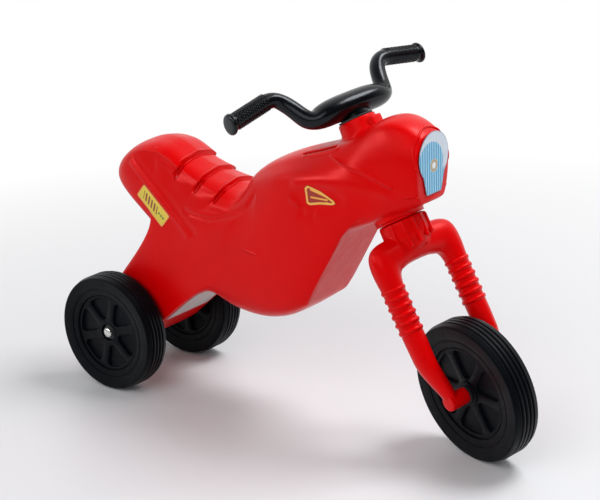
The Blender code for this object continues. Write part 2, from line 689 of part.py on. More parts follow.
# One ring of control points round a path in the YZ plane of the steering frame, grown so
# that the rounded surface has the size given
def section(count, centre, direction, half_width, half_depth, forward=0.0):
    across = Vector((0, direction[1], -direction[0])).normalized()
    growth = 6 / (4 + 2 * math.cos(2 * math.pi / count))
    points = []
    for i in range(count):
        angle = 2 * math.pi * (i + 0.5) / count
        side = across * (half_width * math.cos(angle) * growth)
        depth = Vector((half_depth * math.sin(angle) * growth, 0, 0))
        points.append(Vector((forward, centre[0], centre[1])) + side + depth)
    return points


# Half of the fork, from the middle of the crown, over the shoulder and down one leg
def fork_sections():
    def cross(side, up, direction, wide, deep):
        return section(FORK_RING_POINTS, (side, up), direction, wide, deep)

    crown = -CROWN_TOP_DROP - CROWN_THICKNESS / 2
    thick = CROWN_THICKNESS / 2
    axle = -FORK_REACH
    rings = [
        cross(0, crown, (1, 0), thick, CROWN_HALF_DEPTH + 2 * MM),
        cross(20 * MM, crown, (1, 0), thick, CROWN_HALF_DEPTH + 1 * MM),
        cross(LEG_SPREAD - 20 * MM, crown - 2 * MM, (1, -0.15), thick + 3 * MM, CROWN_HALF_DEPTH),
        cross(LEG_SPREAD - 3 * MM, crown - 3 * MM, (1, -1), thick + 7 * MM, CROWN_HALF_DEPTH),
        cross(LEG_SPREAD, crown - thick - 2 * MM, (0.1, -1), LEG_TUBE_RADIUS + 2 * MM, CROWN_HALF_DEPTH),
        cross(LEG_SPREAD, -GAITER_DROP + 7 * MM, (0, -1), LEG_TUBE_RADIUS, LEG_TUBE_RADIUS),
    ]
    crest = LEG_TUBE_RADIUS + GAITER_RIB_HEIGHT
    valley = LEG_TUBE_RADIUS - 1 * MM
    for i in range(GAITER_RIBS):
        level = -GAITER_DROP - i * GAITER_PITCH
        rings.append(cross(LEG_SPREAD, level, (0, -1), crest, crest))
        rings.append(cross(LEG_SPREAD, level - GAITER_PITCH / 2, (0, -1), valley, valley))
    plate_top = -GAITER_DROP - GAITER_RIBS * GAITER_PITCH - 4 * MM
    taper = axle + LEG_TAPER_HEIGHT
    wide, deep = LEG_PLATE_HALF_WIDTH, LEG_PLATE_HALF_DEPTH
    foot = FORK_BOSS_OUT - 8 * MM
    rings += [
        cross(LEG_SPREAD, plate_top, (0, -1), wide + 1 * MM, deep),
        cross(LEG_SPREAD, (plate_top + taper) / 2, (0, -1), wide, deep),
        cross(LEG_SPREAD, taper, (0, -1), wide, deep),
        cross(foot + 3 * MM, axle + 18 * MM, (-0.2, -1), 10 * MM, FORK_BOSS_RADIUS + 1 * MM),
        cross(foot, axle, (0, -1), 7 * MM, FORK_BOSS_RADIUS),
        cross(foot, axle - 7 * MM, (0, -1), 6 * MM, FORK_BOSS_RADIUS * 0.7),
    ]
    return rings


def make_fork():
    item = cage("fork", fork_sections(), closed_rings=True, cap_end=True)
    mirror(item)
    subdivide(item)
    fork = place(item, RED, STEERING)
    neck_profile = [
        (0, FORK_NECK_TOP),
        (FORK_NECK_RADIUS, FORK_NECK_TOP),
        (FORK_NECK_RADIUS + 1 * MM, FORK_NECK_TOP - FORK_NECK_LENGTH),
        (CROWN_HALF_DEPTH, CROWN_FOOT + 6 * MM),
        (0, CROWN_FOOT + 6 * MM),
    ]
    neck = turned("fork_neck", neck_profile)
    boolean(fork, cutter_place(neck, STEERING), "UNION")
    stem = rod("fork_stem", STEM_RADIUS, FORK_NECK_TOP - OVERLAP, BAR_SOCKET_FOOT - OVERLAP, STEM_SEGMENTS)
    boolean(fork, cutter_place(stem, STEERING), "UNION")
    key = rod("fork_key", STEM_KEY_RADIUS, BAR_SOCKET_FOOT - 2 * OVERLAP, STEM_TOP, segments=6)
    boolean(fork, cutter_place(key, STEERING), "UNION")
    for side, (sign, out) in SIDES.items():
        boss = rod(f"fork_boss_{side}", FORK_BOSS_RADIUS, FORK_BOSS_IN, FORK_BOSS_OUT)
        boolean(fork, cutter_place(boss, FRONT_HUB, (0, 0, 0), out), "UNION")
        socket = rod(f"fork_socket_{side}", AXLE_RADIUS + GAP, 0, FORK_BOSS_IN + FRONT_SOCKET_DEPTH)
        boolean(fork, cutter_place(socket, FRONT_HUB, (0, 0, 0), out), "DIFFERENCE")
    bore = rod("fork_bore", BOLT_RADIUS + GAP, -FORK_REACH / 2, CANOE_LEVEL + CANOE_HALF_HEIGHT)
    boolean(fork, cutter_place(bore, STEERING), "DIFFERENCE")
    seat = rod("fork_nut_pocket", BOLT_WASHER_RADIUS + OVERLAP, -FORK_REACH / 2, NUT_SEAT)
    boolean(fork, cutter_place(seat, STEERING), "DIFFERENCE")


# Half of the handlebar, from the middle of the canoe out to the grip's end flange
def bar_sections():
    level = CANOE_LEVEL
    end = BAR_HALF_WIDTH
    flange = end - BAR_FLANGE_THICKNESS
    tube = BAR_TUBE_RADIUS
    low = level - CANOE_HALF_HEIGHT + BAR_TUBE_RADIUS
    top = level + BAR_RISE

    def cross(side, up, direction, wide, deep, forward):
        return section(BAR_RING_POINTS, (side, up), direction, wide, deep, forward)

    def grip(side):
        share = (side - BAR_BEND_SIDE) / (end - BAR_BEND_SIDE)
        return top - BAR_END_DROP * share, -BAR_SWEEP - BAR_END_SWEEP * share

    rings = [
        cross(0, level, (1, 0), CANOE_HALF_HEIGHT, CANOE_HALF_DEPTH, 0),
        cross(30 * MM, level, (1, 0), CANOE_HALF_HEIGHT, CANOE_HALF_DEPTH, 0),
        cross(50 * MM, low, (1, 0.1), tube, CANOE_HALF_DEPTH - 4 * MM, -3 * MM),
        cross(CANOE_HALF_LENGTH, low + 4 * MM, (1, 1), tube, tube + 2 * MM, -8 * MM),
        cross(CANOE_HALF_LENGTH + 7 * MM, (low + top) / 2, (0.5, 1), tube, tube, -BAR_SWEEP * 0.62),
        cross(BAR_BEND_SIDE - 7 * MM, top - 9 * MM, (0.7, 1), tube, tube, -BAR_SWEEP * 0.9),
        cross(BAR_BEND_SIDE + 4 * MM, top, (1, 0), tube, tube, -BAR_SWEEP),
    ]
    steps = [
        ((BAR_BEND_SIDE + end) / 2, tube),
        (flange - 4 * MM, tube),
        (flange - 1 * MM, tube),
        (flange, BAR_FLANGE_RADIUS),
        (end - 1.5 * MM, BAR_FLANGE_RADIUS),
        (end, BAR_FLANGE_RADIUS * 0.7),
    ]
    for side, radius in steps:
        up, forward = grip(side)
        rings.append(cross(side, up, (1, 0), radius, radius, forward))
    return rings


def make_handlebar():
    item = cage("handlebar", bar_sections(), closed_rings=True, cap_end=True)
    mirror(item)
    subdivide(item)
    bar = place(item, BAR_BLACK, STEERING)
    socket_top = BAR_SOCKET_RADIUS - 5 * MM
    socket = rod("bar_socket", socket_top, BAR_SOCKET_FOOT, CANOE_LEVEL, foot_radius=BAR_SOCKET_RADIUS)
    boolean(bar, cutter_place(socket, STEERING), "UNION")
    key_foot = BAR_SOCKET_FOOT - OVERLAP
    key = rod("bar_key_socket", STEM_KEY_RADIUS + GAP, key_foot, STEM_TOP + GAP, segments=6)
    boolean(bar, cutter_place(key, STEERING), "DIFFERENCE")
    above = CANOE_LEVEL + 2 * CANOE_HALF_HEIGHT
    bore = rod("bar_bore", BOLT_RADIUS + GAP, BAR_SOCKET_FOOT - OVERLAP, above)
    boolean(bar, cutter_place(bore, STEERING), "DIFFERENCE")
    recess = rod("bar_recess", BOLT_WASHER_RADIUS + OVERLAP / 2, BOLT_SEAT, above)
    boolean(bar, cutter_place(recess, STEERING), "DIFFERENCE")


# Steering bushes, and the bolt that clamps handlebar and fork together
def make_steering_hardware():
    bore = STEM_RADIUS + GAP
    sleeve = bore + STEERING_BUSH_WALL
    raked = Matrix.Rotation(-RAKE, 4, "Y")
    upper = flanged_bush("steering_upper_bush", bore, sleeve, TOWER_TOP_RADIUS - OVERLAP,
                         STEERING_FLANGE_THICKNESS, STEERING_BUSH_LENGTH, STEM_SEGMENTS)
    place(upper, NYLON, FRAME, to_steering((0, 0, TOWER_HEIGHT + GAP)), raked)
    lower = flanged_bush("steering_lower_bush", bore, sleeve, NECK_RADIUS,
                         STEERING_FLANGE_THICKNESS, STEERING_BUSH_LENGTH, STEM_SEGMENTS)
    place(lower, RED, FRAME, to_steering((0, 0, -GAP)), raked @ Matrix.Rotation(math.pi, 4, "X"))

    washer_top = BOLT_SEAT + GAP + BOLT_WASHER_THICKNESS
    head_foot = washer_top + GAP
    washer_foot = BOLT_SEAT + GAP
    washer = ring("steering_bolt_washer", BOLT_RADIUS + GAP, BOLT_WASHER_RADIUS, washer_foot, washer_top)
    place(washer, STEEL, STEERING)
    nut_seat = NUT_SEAT - GAP
    washer_foot = nut_seat - BOLT_WASHER_THICKNESS
    nut_washer = ring("steering_nut_washer", BOLT_RADIUS + GAP, BOLT_WASHER_RADIUS, washer_foot, nut_seat)
    place(nut_washer, STEEL, STEERING)
    nut_top = washer_foot - GAP
    nut = rod("steering_nut", BOLT_HEAD_RADIUS, nut_top - NUT_HEIGHT, nut_top, segments=6)
    nut_bore = rod("steering_nut_bore", BOLT_RADIUS + GAP, nut_top - 2 * NUT_HEIGHT, nut_top + NUT_HEIGHT)
    place(nut, STEEL, STEERING)
    boolean(nut, cutter_place(nut_bore, STEERING), "DIFFERENCE")
    bolt_end = nut_top - NUT_HEIGHT - OVERLAP
    bolt = rod("steering_bolt", BOLT_RADIUS, bolt_end, head_foot + BOLT_HEAD_HEIGHT / 2)
    head = rod("steering_bolt_head", BOLT_HEAD_RADIUS, head_foot, head_foot + BOLT_HEAD_HEIGHT, segments=6)
    place(bolt, STEEL, STEERING)
    boolean(bolt, cutter_place(head, STEERING), "UNION")


def clockwise(outline):
    area = 0.0
    for (x0, y0), (x1, y1) in zip(outline, outline[1:] + outline[:1]):
        area += x0 * y1 - x1 * y0
    return outline if area < 0 else outline[::-1]


# Stickers lie on the body: nested outlines make a sheet, which is laid on the surface
# along its own normal and then thickened outwards
def sticker(name, outline, surface, body, location, turn):
    outline = clockwise(outline)
    rings = [[Vector((x * share, y * share, 0)) for x, y in outline] for share in (1.0, 0.75, 0.45)]
    sheet = place(cage(name, rings, closed_rings=True, cap_end=True), surface, FRAME, location, turn)
    wrap = sheet.modifiers.new("wrap", "SHRINKWRAP")
    wrap.target = body
    wrap.wrap_method = "PROJECT"
    wrap.use_project_z = True
    wrap.use_negative_direction = True
    wrap.use_positive_direction = False
    wrap.offset = STICKER_LIFT
    thick = sheet.modifiers.new("thick", "SOLIDIFY")
    thick.thickness = STICKER_THICKNESS
    thick.offset = 1
    return sheet


def turned_outline(outline, degrees, flip):
    cosine, sine = math.cos(math.radians(degrees)), math.sin(math.radians(degrees))
    return [(x * cosine - y * sine, flip * (x * sine + y * cosine)) for x, y in outline]


def facing(normal, across):
    upright = normal.cross(across)
    return Matrix((across, upright, normal)).transposed().to_4x4()


# The lens outline: a round lamp with a tab hanging under it, as one outline
def lens_outline():
    radius = LENS_WIDTH / 2
    half_tab = LENS_TAB_WIDTH / 2
    lamp = LENS_HEIGHT / 2 - radius
    foot = -LENS_HEIGHT / 2
    reach = math.degrees(math.asin(half_tab / radius))
    round_part = arc((0, lamp), radius, -90 + reach + 14, 270 - reach - 14, 12)
    corner = 3 * MM
    left = [(-half_tab, foot + corner), (-half_tab + corner, foot)]
    right = [(half_tab - corner, foot), (half_tab, foot + corner)]
    return round_part + left + right


def badge_outline():
    x, y = BADGE_LENGTH / 2, BADGE_HEIGHT / 2
    upper = [(-x, y * 0.7), (-x * 0.75, y), (x * 0.1, y * 0.55), (x * 0.9, -y * 0.15)]
    lower = [(x, -y * 0.45), (x * 0.8, -y * 0.65), (0, -y * 0.75), (-x * 0.7, -y), (-x * 0.9, -y * 0.8)]
    return upper + lower


def make_stickers(body):
    for side, (sign, out) in SIDES.items():
        outside = sign * (LEG_HALF + LABEL_MARGIN)
        flip = -sign
        corners = rounded_rectangle(TAIL_PLATE_LENGTH, TAIL_PLATE_WIDTH, 3 * MM)
        tail = turned_outline(corners, TAIL_PLATE_SLOPE, flip)
        sticker(f"tail_plate_{side}", tail, YELLOW, body, (TAIL_PLATE_X, outside, TAIL_PLATE_Z), out)
        badge = turned_outline(badge_outline(), 0, flip)
        sticker(f"tank_badge_{side}", badge, YELLOW, body, (BADGE_X, outside, BADGE_Z), out)
    lens_turn = facing(Vector((1, 0, 0)), Vector((0, 1, 0)))
    lens = plate("headlight_sticker", lens_outline(), LENS_THICKNESS)
    place(lens, LENS, FRAME, (HEAD_FACE_X + LENS_THICKNESS / 2, 0, LENS_Z), lens_turn)
    slope = Vector((math.sin(LABEL_SLOPE), 0, -math.cos(LABEL_SLOPE)))
    label = rounded_rectangle(2 * (LEG_HALF - LABEL_MARGIN), LABEL_LENGTH, 3 * MM)
    label_turn = facing(slope, Vector((0, 1, 0)))
    label_place = Vector((LABEL_X, 0, LABEL_Z)) + slope * LABEL_MARGIN
    sticker("leg_label", label, PALE, body, label_place, label_turn)


def finish():
    for item in PARTS.objects:
        if item.type == "MESH":
            smooth(item)


def main():
    body = make_body_shell()
    make_rear_axle()
    make_rear_wheels()
    make_front_wheel()
    make_fork()
    make_handlebar()
    make_steering_hardware()
    make_stickers(body)
    finish()


main()
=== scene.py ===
"""Looks of the kids ride-on motorcycle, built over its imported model.

The toy is three blow-moulded pieces, the red body, the red fork and the black handlebar,
on three black wheels. Blender counts in metres. Sizes here are in millimetres, unless a line
multiplies them by MM: on the body from the middle of the rear axle, and on the fork and the
handlebar from the foot of the neck.
"""

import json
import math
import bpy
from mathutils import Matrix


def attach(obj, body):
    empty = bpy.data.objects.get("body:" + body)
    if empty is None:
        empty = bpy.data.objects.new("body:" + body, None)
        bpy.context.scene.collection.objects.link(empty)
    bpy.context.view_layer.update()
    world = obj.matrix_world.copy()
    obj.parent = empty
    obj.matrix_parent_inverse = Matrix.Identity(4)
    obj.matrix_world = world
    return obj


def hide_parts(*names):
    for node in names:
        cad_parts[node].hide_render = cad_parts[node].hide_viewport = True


bl_info = {
    "name": "Kids Ride-on Motorcycle",
    "version": (1, 0, 0),
    "blender": (4, 5, 0),
    "location": "View3D > Sidebar > Ride-on",
    "description": "Builds the shapes, plastics and stickers of a ride-on toy motorcycle",
    "category": "Object",
}

import bmesh
import bpy
import numpy as np
from bpy.props import FloatProperty, FloatVectorProperty, IntProperty, PointerProperty
from mathutils import Matrix, Vector
from mathutils.bvhtree import BVHTree

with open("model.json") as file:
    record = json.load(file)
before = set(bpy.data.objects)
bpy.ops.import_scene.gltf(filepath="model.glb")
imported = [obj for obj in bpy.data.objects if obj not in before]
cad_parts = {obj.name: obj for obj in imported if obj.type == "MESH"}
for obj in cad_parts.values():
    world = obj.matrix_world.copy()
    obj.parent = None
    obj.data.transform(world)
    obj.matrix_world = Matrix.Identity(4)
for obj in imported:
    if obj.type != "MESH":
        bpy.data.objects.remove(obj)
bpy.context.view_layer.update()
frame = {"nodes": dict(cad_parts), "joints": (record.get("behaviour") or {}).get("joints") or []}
JOINTS = {joint["name"]: joint for joint in frame["joints"]}
MM = 0.001

# Where the toy's own axes are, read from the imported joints
NECK = Vector(JOINTS["steering_hinge"]["pos_m"])
UPRIGHT = Vector(JOINTS["steering_hinge"]["axis"])
REAR_RIGHT = Vector(JOINTS["rear_wheel_right_spin"]["pos_m"])
REAR_LEFT = Vector(JOINTS["rear_wheel_left_spin"]["pos_m"])
FRONT = Vector(JOINTS["front_wheel_spin"]["pos_m"])
RAKE = math.atan2(-UPRIGHT.x, UPRIGHT.z)
RAKED = Matrix.Translation(NECK) @ Matrix.Rotation(-RAKE, 4, "Y")
ACROSS = RAKED.inverted().to_3x3() @ Vector(JOINTS["front_wheel_spin"]["axis"])
STEERED = RAKED @ Matrix.Rotation(math.atan2(-ACROSS.x, ACROSS.y), 4, "Z")
AXLE = Matrix.Translation((REAR_RIGHT.x, NECK.y, REAR_RIGHT.z))
FORK_REACH = (NECK - FRONT).length
FRONT_HUB = STEERED @ Matrix.Translation((0, 0, -FORK_REACH))
SIDES = (("right", -1), ("left", 1))


# Small helpers for places, meshes and settings
def at(x, y, z):
    """A move by millimetres."""
    return Matrix.Translation((x * MM, y * MM, z * MM))


def turn(angle, axis):
    return Matrix.Rotation(math.radians(angle), 4, axis)


OUTWARD = {"right": turn(90, "X"), "left": turn(-90, "X")}


def metres(pairs):
    return [(a * MM, b * MM) for a, b in pairs]


def length(name, description, size):
    """A setting that is a length, with its default in millimetres."""
    return FloatProperty(name=name, description=description, default=size * MM, unit="LENGTH")


def scaled(points):
    return [Vector(point) * MM for point in points]


def mesh_from(name, points, faces):
    mesh = bpy.data.meshes.new(name)
    mesh.from_pydata([tuple(point) for point in points], [], faces)
    mesh.update()
    return mesh


def add_object(name, data):
    item = bpy.data.objects.new(name, data)
    bpy.context.scene.collection.objects.link(item)
    return item


def baked(item):
    bpy.context.view_layer.update()
    mesh = bpy.data.meshes.new_from_object(item.evaluated_get(bpy.context.evaluated_depsgraph_get()))
    bpy.data.objects.remove(item, do_unlink=True)
    return mesh


def cleaned(mesh, distance=0.00002):
    shape = bmesh.new()
    shape.from_mesh(mesh)
    bmesh.ops.remove_doubles(shape, verts=shape.verts, dist=distance)
    bmesh.ops.recalc_face_normals(shape, faces=shape.faces)
    shape.to_mesh(mesh)
    shape.free()
    return mesh


def joined(name, meshes):
    shape = bmesh.new()
    for mesh in meshes:
        shape.from_mesh(mesh)
    result = bpy.data.meshes.new(name)
    shape.to_mesh(result)
    shape.free()
    return result


def finished(name, mesh, surface, body, node, matrix=Matrix.Identity(4), crease=40):
    """Puts the mesh in its place, gives it its material and its body, and hides what it stands for."""
    mesh.transform(matrix)
    mesh.materials.clear()
    mesh.materials.append(surface)
    mesh.shade_smooth()
    mesh.set_sharp_from_angle(angle=math.radians(crease))
    item = bpy.data.objects.get(name) or add_object(name, mesh)
    item.data = mesh
    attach(item, body)
    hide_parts(node)
    return item


def skinned(name, rings, closed, cap_end=False, cap_start=False):
    count = len(rings[0])
    points = [point for ring in rings for point in ring]
    faces = []
    for i in range(len(rings) - 1):
        for j in range(count if closed else count - 1):
            k = (j + 1) % count
            faces.append((i * count + j, (i + 1) * count + j, (i + 1) * count + k, i * count + k))
    if cap_end:
        faces.append(tuple(reversed(range((len(rings) - 1) * count, len(rings) * count))))
    if cap_start:
        faces.append(tuple(range(count)))
    return mesh_from(name, points, faces)


def rounded(mesh, levels, mirrored=False):
    item = add_object(mesh.name, mesh)
    if mirrored:
        mirror = item.modifiers.new("mirror", "MIRROR")
        mirror.use_axis = (False, True, False)
        mirror.merge_threshold = 0.00001
        mirror.use_clip = True
    subdivision = item.modifiers.new("round", "SUBSURF")
    subdivision.levels = levels
    subdivision.render_levels = levels
    return baked(item)


def bent(start, middle, end, t):
    """A place on the soft curve from start to end that leans towards middle."""
    return start * (1 - t) ** 2 + middle * 2 * t * (1 - t) + end * t ** 2


def angles_of(count):
    return [2 * math.pi * i / count for i in range(count)]


def circle(radius, height, count):
    return [Vector((radius * math.cos(a), radius * math.sin(a), height)) for a in angles_of(count)]


def turned(name, profile, segments=72):
    """Turns (radius, height) points round Z. A first or last radius of 0 closes the shape there."""
    rows = profile if profile[0][0] <= 0 else profile + [profile[0]]
    rings = [circle(radius, height, segments) for radius, height in rows]
    return cleaned(skinned(name, rings, closed=True))


def soft_corner(corner, before, after, size, steps=3):
    """Points that round one corner of a profile by a given size."""
    here = Vector(corner)
    start = here + (Vector(before) - here).normalized() * size
    end = here + (Vector(after) - here).normalized() * size
    return [tuple(bent(start, here, end, i / steps)) for i in range(steps + 1)]


def soft_profile(points, size, keep=()):
    """A turned profile in millimetres, made metres, with every corner rounded but those in keep."""
    points = metres(points)
    result = []
    for i, point in enumerate(points):
        if i in keep or point[0] <= 0:
            result.append(point)
        else:
            result += soft_corner(point, points[i - 1], points[(i + 1) % len(points)], size * MM)
    return result


def tree_of(mesh):
    return BVHTree.FromPolygons([v.co for v in mesh.vertices], [tuple(p.vertices) for p in mesh.polygons])


def smooth_round(values, passes):
    for _ in range(passes):
        values = (np.roll(values, 1, axis=0) + 2 * values + np.roll(values, -1, axis=0)) / 4
    return values


def grown_stub(name, skin, wall, tip, hole, fillet, miss, segments=96, passes=2):
    """A round stub that grows out of a skin with a soft root.

    It stands on the Z axis. wall gives its radius at a height, tip is the height of its end
    and hole the radius of the hole in it, fillet the size of its root, and miss the radius and
    height where the root goes where there is no skin under it.
    """
    way = 1 if tip > miss[1] else -1
    start, edge, inside = tip + way * 30 * MM, 1.2 * MM, 4 * MM
    angles = angles_of(segments)
    feet = []
    for angle in angles:
        out = Vector((math.cos(angle), math.sin(angle), 0))
        radius, foot = wall(tip), miss
        for _ in range(3):
            hit = skin.ray_cast(out * (radius + fillet) + Vector((0, 0, start)), Vector((0, 0, -way)))[0]
            if hit is None or (hit.z - tip) * way > 0:
                break
            foot = (radius + fillet, hit.z)
            radius = wall(hit.z)
        feet.append(foot)
    feet = smooth_round(np.array(feet), passes)

    def up_one_side(radius, height):
        """Radius and height from just under the skin to just below the tip."""
        raised = height + way * fillet
        spots = [(radius + 1 * MM, height - way * edge)]
        for t in np.linspace(0, 1, 9):
            spots.append((bent(radius, wall(height), wall(raised), t), bent(height, height, raised, t)))
        for share in (0.5, 0.9):
            level = raised + (tip - way * edge - raised) * share
            spots.append((wall(level), level))
        return spots

    rings = []
    for spots in zip(*(up_one_side(radius, height) for radius, height in feet)):
        rings.append([Vector((r * math.cos(a), r * math.sin(a), h)) for a, (r, h) in zip(angles, spots)])
    top = wall(tip)
    lip = ((top, edge), (top - 0.3 * edge, 0.3 * edge), (top - edge, 0), (hole, 0), (hole, inside))
    for radius, depth in lip:
        rings.append(circle(radius, tip - way * depth, segments))
    foot = Vector((0, 0, float(feet[:, 1].mean()) - way * inside))
    rings = [[foot] * segments, *rings, [foot] * segments]
    return cleaned(skinned(name, rings, closed=True))


def soft_box(name, size, bevel):
    shape = bmesh.new()
    bmesh.ops.create_cube(shape, size=1.0, matrix=Matrix.Diagonal((*size, 1)))
    bmesh.ops.bevel(shape, geom=shape.edges[:], offset=bevel, segments=4, affect="EDGES", profile=0.5)
    mesh = bpy.data.meshes.new(name)
    shape.to_mesh(mesh)
    shape.free()
    return mesh


# Colour and material helpers
def paint(code):
    """An sRGB hex colour in Blender's linear light."""
    channels = [int(code[i:i + 2], 16) / 255 for i in (0, 2, 4)]
    return (*(c / 12.92 if c <= 0.04045 else ((c + 0.055) / 1.055) ** 2.4 for c in channels), 1.0)


def add(tree, kind, inputs=(), out=0, **settings):
    """Adds a node with its settings and links, and gives one of its outputs.

    kind is Blender's name of the node, less ShaderNode. Inputs come in order or by name. Each
    is a value, a hex colour, the output that feeds it, or a list of outputs that all do.
    """
    node = tree.nodes.new(kind if "Node" in kind else "ShaderNode" + kind)
    for key, value in settings.items():
        setattr(node, key, value)
    for key, value in inputs.items() if isinstance(inputs, dict) else enumerate(inputs):
        for source in value if isinstance(value, list) else [value]:
            if isinstance(source, bpy.types.NodeSocket):
                tree.links.new(source, node.inputs[key])
            else:
                node.inputs[key].default_value = paint(source) if isinstance(source, str) else source
    return node.outputs[out] if node.outputs else node


def new_surface(name):
    """An empty material, its node tree, and the place in metres of each point on the toy."""
    surface = bpy.data.materials.get(name) or bpy.data.materials.new(name)
    surface.use_nodes = True
    surface.node_tree.nodes.clear()
    return surface, surface.node_tree, add(surface.node_tree, "TexCoord", out="Object")


def shaded(surface, inputs):
    """Ends a material in one plain shader with the inputs given."""
    shader = add(surface.node_tree, "BsdfPrincipled", inputs)
    add(surface.node_tree, "OutputMaterial", [shader])
    return surface


def layered(tree, ground, layers):
    """Colours laid one over the other.

    Each has its share from 0 to 1, or a measure with the two values between which it fades out.
    """
    for share, colour in layers:
        if isinstance(share, tuple):
            share = add(tree, "MapRange", [*share, 1.0, 0.0])
        ground = add(tree, "Mix", {0: share, 6: ground, 7: colour}, 2, data_type="RGBA")
    return ground


def side_distance(tree, spot, line):
    """Distance in millimetres from a line drawn in the side view."""
    best = None
    for start, end in zip(line, line[1:]):
        first, way = Vector((*start, 0)), Vector((end[0] - start[0], end[1] - start[1], 0))
        half, way = way.length / 2, way.normalized()
        aside = Vector((-way.y, way.x, 0))
        gaps = []
        for axis, middle in ((way, first.dot(way) + half), (aside, first.dot(aside))):
            gap = add(tree, "VectorMath", [spot, axis], "Value", operation="DOT_PRODUCT")
            gap = add(tree, "Math", [gap, middle], operation="SUBTRACT")
            gaps.append(add(tree, "Math", [gap], operation="ABSOLUTE"))
        past = add(tree, "Math", [gaps[0], half], operation="SUBTRACT")
        past = add(tree, "Math", [past, 0.0], operation="MAXIMUM")
        gap = add(tree, "Math", [past, gaps[1]], operation="ADD")
        best = gap if best is None else add(tree, "Math", [best, gap], operation="MINIMUM")
    return best


def moulded_lines(tree, place):
    """Height in millimetres of the fine ridges and grooves that the mould leaves on the body."""
    soft = {"interpolation_type": "SMOOTHSTEP"}
    from_axle = add(tree, "Mapping", {"Vector": place, "Location": -AXLE.translation / MM,
                                      "Scale": (1 / MM, 1 / MM, 1 / MM)})
    x, y, z = add(tree, "SeparateXYZ", [from_axle]).node.outputs
    side = add(tree, "Math", [y], operation="ABSOLUTE")
    in_side_view = add(tree, "CombineXYZ", [x, z])
    from_above = add(tree, "CombineXYZ", [x, side])
    on_flank = add(tree, "MapRange", [side, 30.0, 36.0, 0.0, 1.0], **soft)
    on_top = add(tree, "MapRange", [z, 270.0, 280.0, 0.0, 1.0], **soft)
    on_seat = add(tree, "Math", [add(tree, "MapRange", [z, 205.0, 215.0, 0.0, 1.0], **soft),
                                 add(tree, "MapRange", [side, 38.0, 34.0, 0.0, 1.0], **soft)],
                  operation="MULTIPLY")
    bend = add(tree, "Math", [side, 2.0], operation="POWER")
    along = add(tree, "Math", [bend, LIP_BEND / SEAT_HALF ** 2, x], operation="MULTIPLY_ADD")
    seat_beads = []
    for lip in SEAT_LIPS:
        for offset, height, width in LIP_BEADS:
            away = add(tree, "Math", [along, lip + offset], operation="SUBTRACT")
            seat_beads.append((add(tree, "Math", [away], operation="ABSOLUTE"), height, width))
    flank_beads = [(side_distance(tree, in_side_view, line), *size) for line, *size in SIDE_LINES]
    top_beads = [(side_distance(tree, from_above, line), *size) for line, *size in TOP_LINES]
    total = 0.0
    for where, beads in ((on_flank, flank_beads), (on_seat, seat_beads), (on_top, top_beads)):
        raised = 0.0
        for away, height, width in beads:
            bead = add(tree, "MapRange", [away, 0.0, width, height, 0.0], **soft)
            raised = add(tree, "Math", [raised, bead], operation="ADD")
        total = add(tree, "Math", [raised, where, total], operation="MULTIPLY_ADD")
    return total


def moulded_plastic(name, code, worn, roughness, ior, peel, grain, cloud, sheen="FFFFFF", lines=None):
    """Blow-moulded polyethylene: a waxy skin that is a little cloudy, with a faint orange peel.

    The mould leaves lumps of a few millimetres and a fine grain, and handling leaves dull
    patches, so the highlights are broad and their edges uneven. The waxy skin is deep: light
    that comes straight back has the colour of the pigment, and only a grazing sheen is white.
    """
    surface, tree, place = new_surface(name)
    noises = []
    for size, detail, rough in ((cloud, 3.0, 0.5), (18, 4.0, 0.6), (5, 1.0, 0.5), (0.7, 2.0, 0.5)):
        noises.append(add(tree, "TexNoise", {"Vector": place, "Scale": 1 / (size * MM), "Detail": detail,
                                             "Roughness": rough}))
    clouds, patches, lumps, grains = noises
    wear = add(tree, "MapRange", [clouds, 0.35, 0.7, 0.0, 0.55])
    dull = add(tree, "MapRange", [patches, 0.3, 0.75, roughness - 0.05, roughness + 0.09])
    skin = add(tree, "Bump", {"Height": lumps, "Strength": peel, "Distance": 0.3 * MM})
    skin = add(tree, "Bump", {"Height": grains, "Strength": grain, "Distance": 0.05 * MM, "Normal": skin})
    if lines:
        skin = add(tree, "Bump", {"Height": lines(tree, place), "Strength": 1.0, "Distance": 1 * MM,
                                  "Normal": skin})
    return shaded(surface, {"Base Color": layered(tree, code, [(wear, worn)]), "Roughness": dull,
                            "IOR": ior, "Specular Tint": sheen, "Normal": skin})


def bright_steel(name, code, roughness):
    """Zinc-plated steel: bright, with fine drawing lines round the rod and cloudy plating."""
    surface, tree, place = new_surface(name)
    clouds = add(tree, "TexNoise", {"Vector": place, "Scale": 1 / (6 * MM), "Detail": 3.0, "Roughness": 0.5})
    drawn = add(tree, "Mapping", {"Vector": place, "Scale": (1.0, 12.0, 1.0)})
    lines = add(tree, "TexNoise", {"Vector": drawn, "Scale": 1 / (2.5 * MM), "Detail": 2.0,
                                   "Roughness": 0.5})
    return shaded(surface, {
        "Base Color": code, "Metallic": 1.0, "IOR": 1.5,
        "Roughness": add(tree, "MapRange", [clouds, 0.3, 0.7, roughness - 0.05, roughness + 0.1]),
        "Normal": add(tree, "Bump", {"Height": lines, "Strength": 0.12, "Distance": 0.02 * MM})})


class ToyColours(bpy.types.PropertyGroup):
    wheel_roughness: FloatProperty(name="Wheel roughness", description="Dullness of the wheels' skin",
                                   default=0.46, min=0, max=1)
    body_roughness: FloatProperty(name="Body roughness", description="Dullness of the red skin",
                                  default=0.33, min=0, max=1)
    bar_roughness: FloatProperty(name="Bar roughness", description="Dullness of the handlebar's skin",
                                 default=0.2, min=0, max=1)


RED, RED_WORN, RED_SHEEN = "D80002", "CF0003", "FF5656"
WHEEL_BLACK, WHEEL_WORN, WHEEL_SHEEN = "07090D", "0E1015", "363A42"
BAR_BLACK, BAR_WORN, BAR_SHEEN = "07070A", "0D0E11", "A2A8AE"


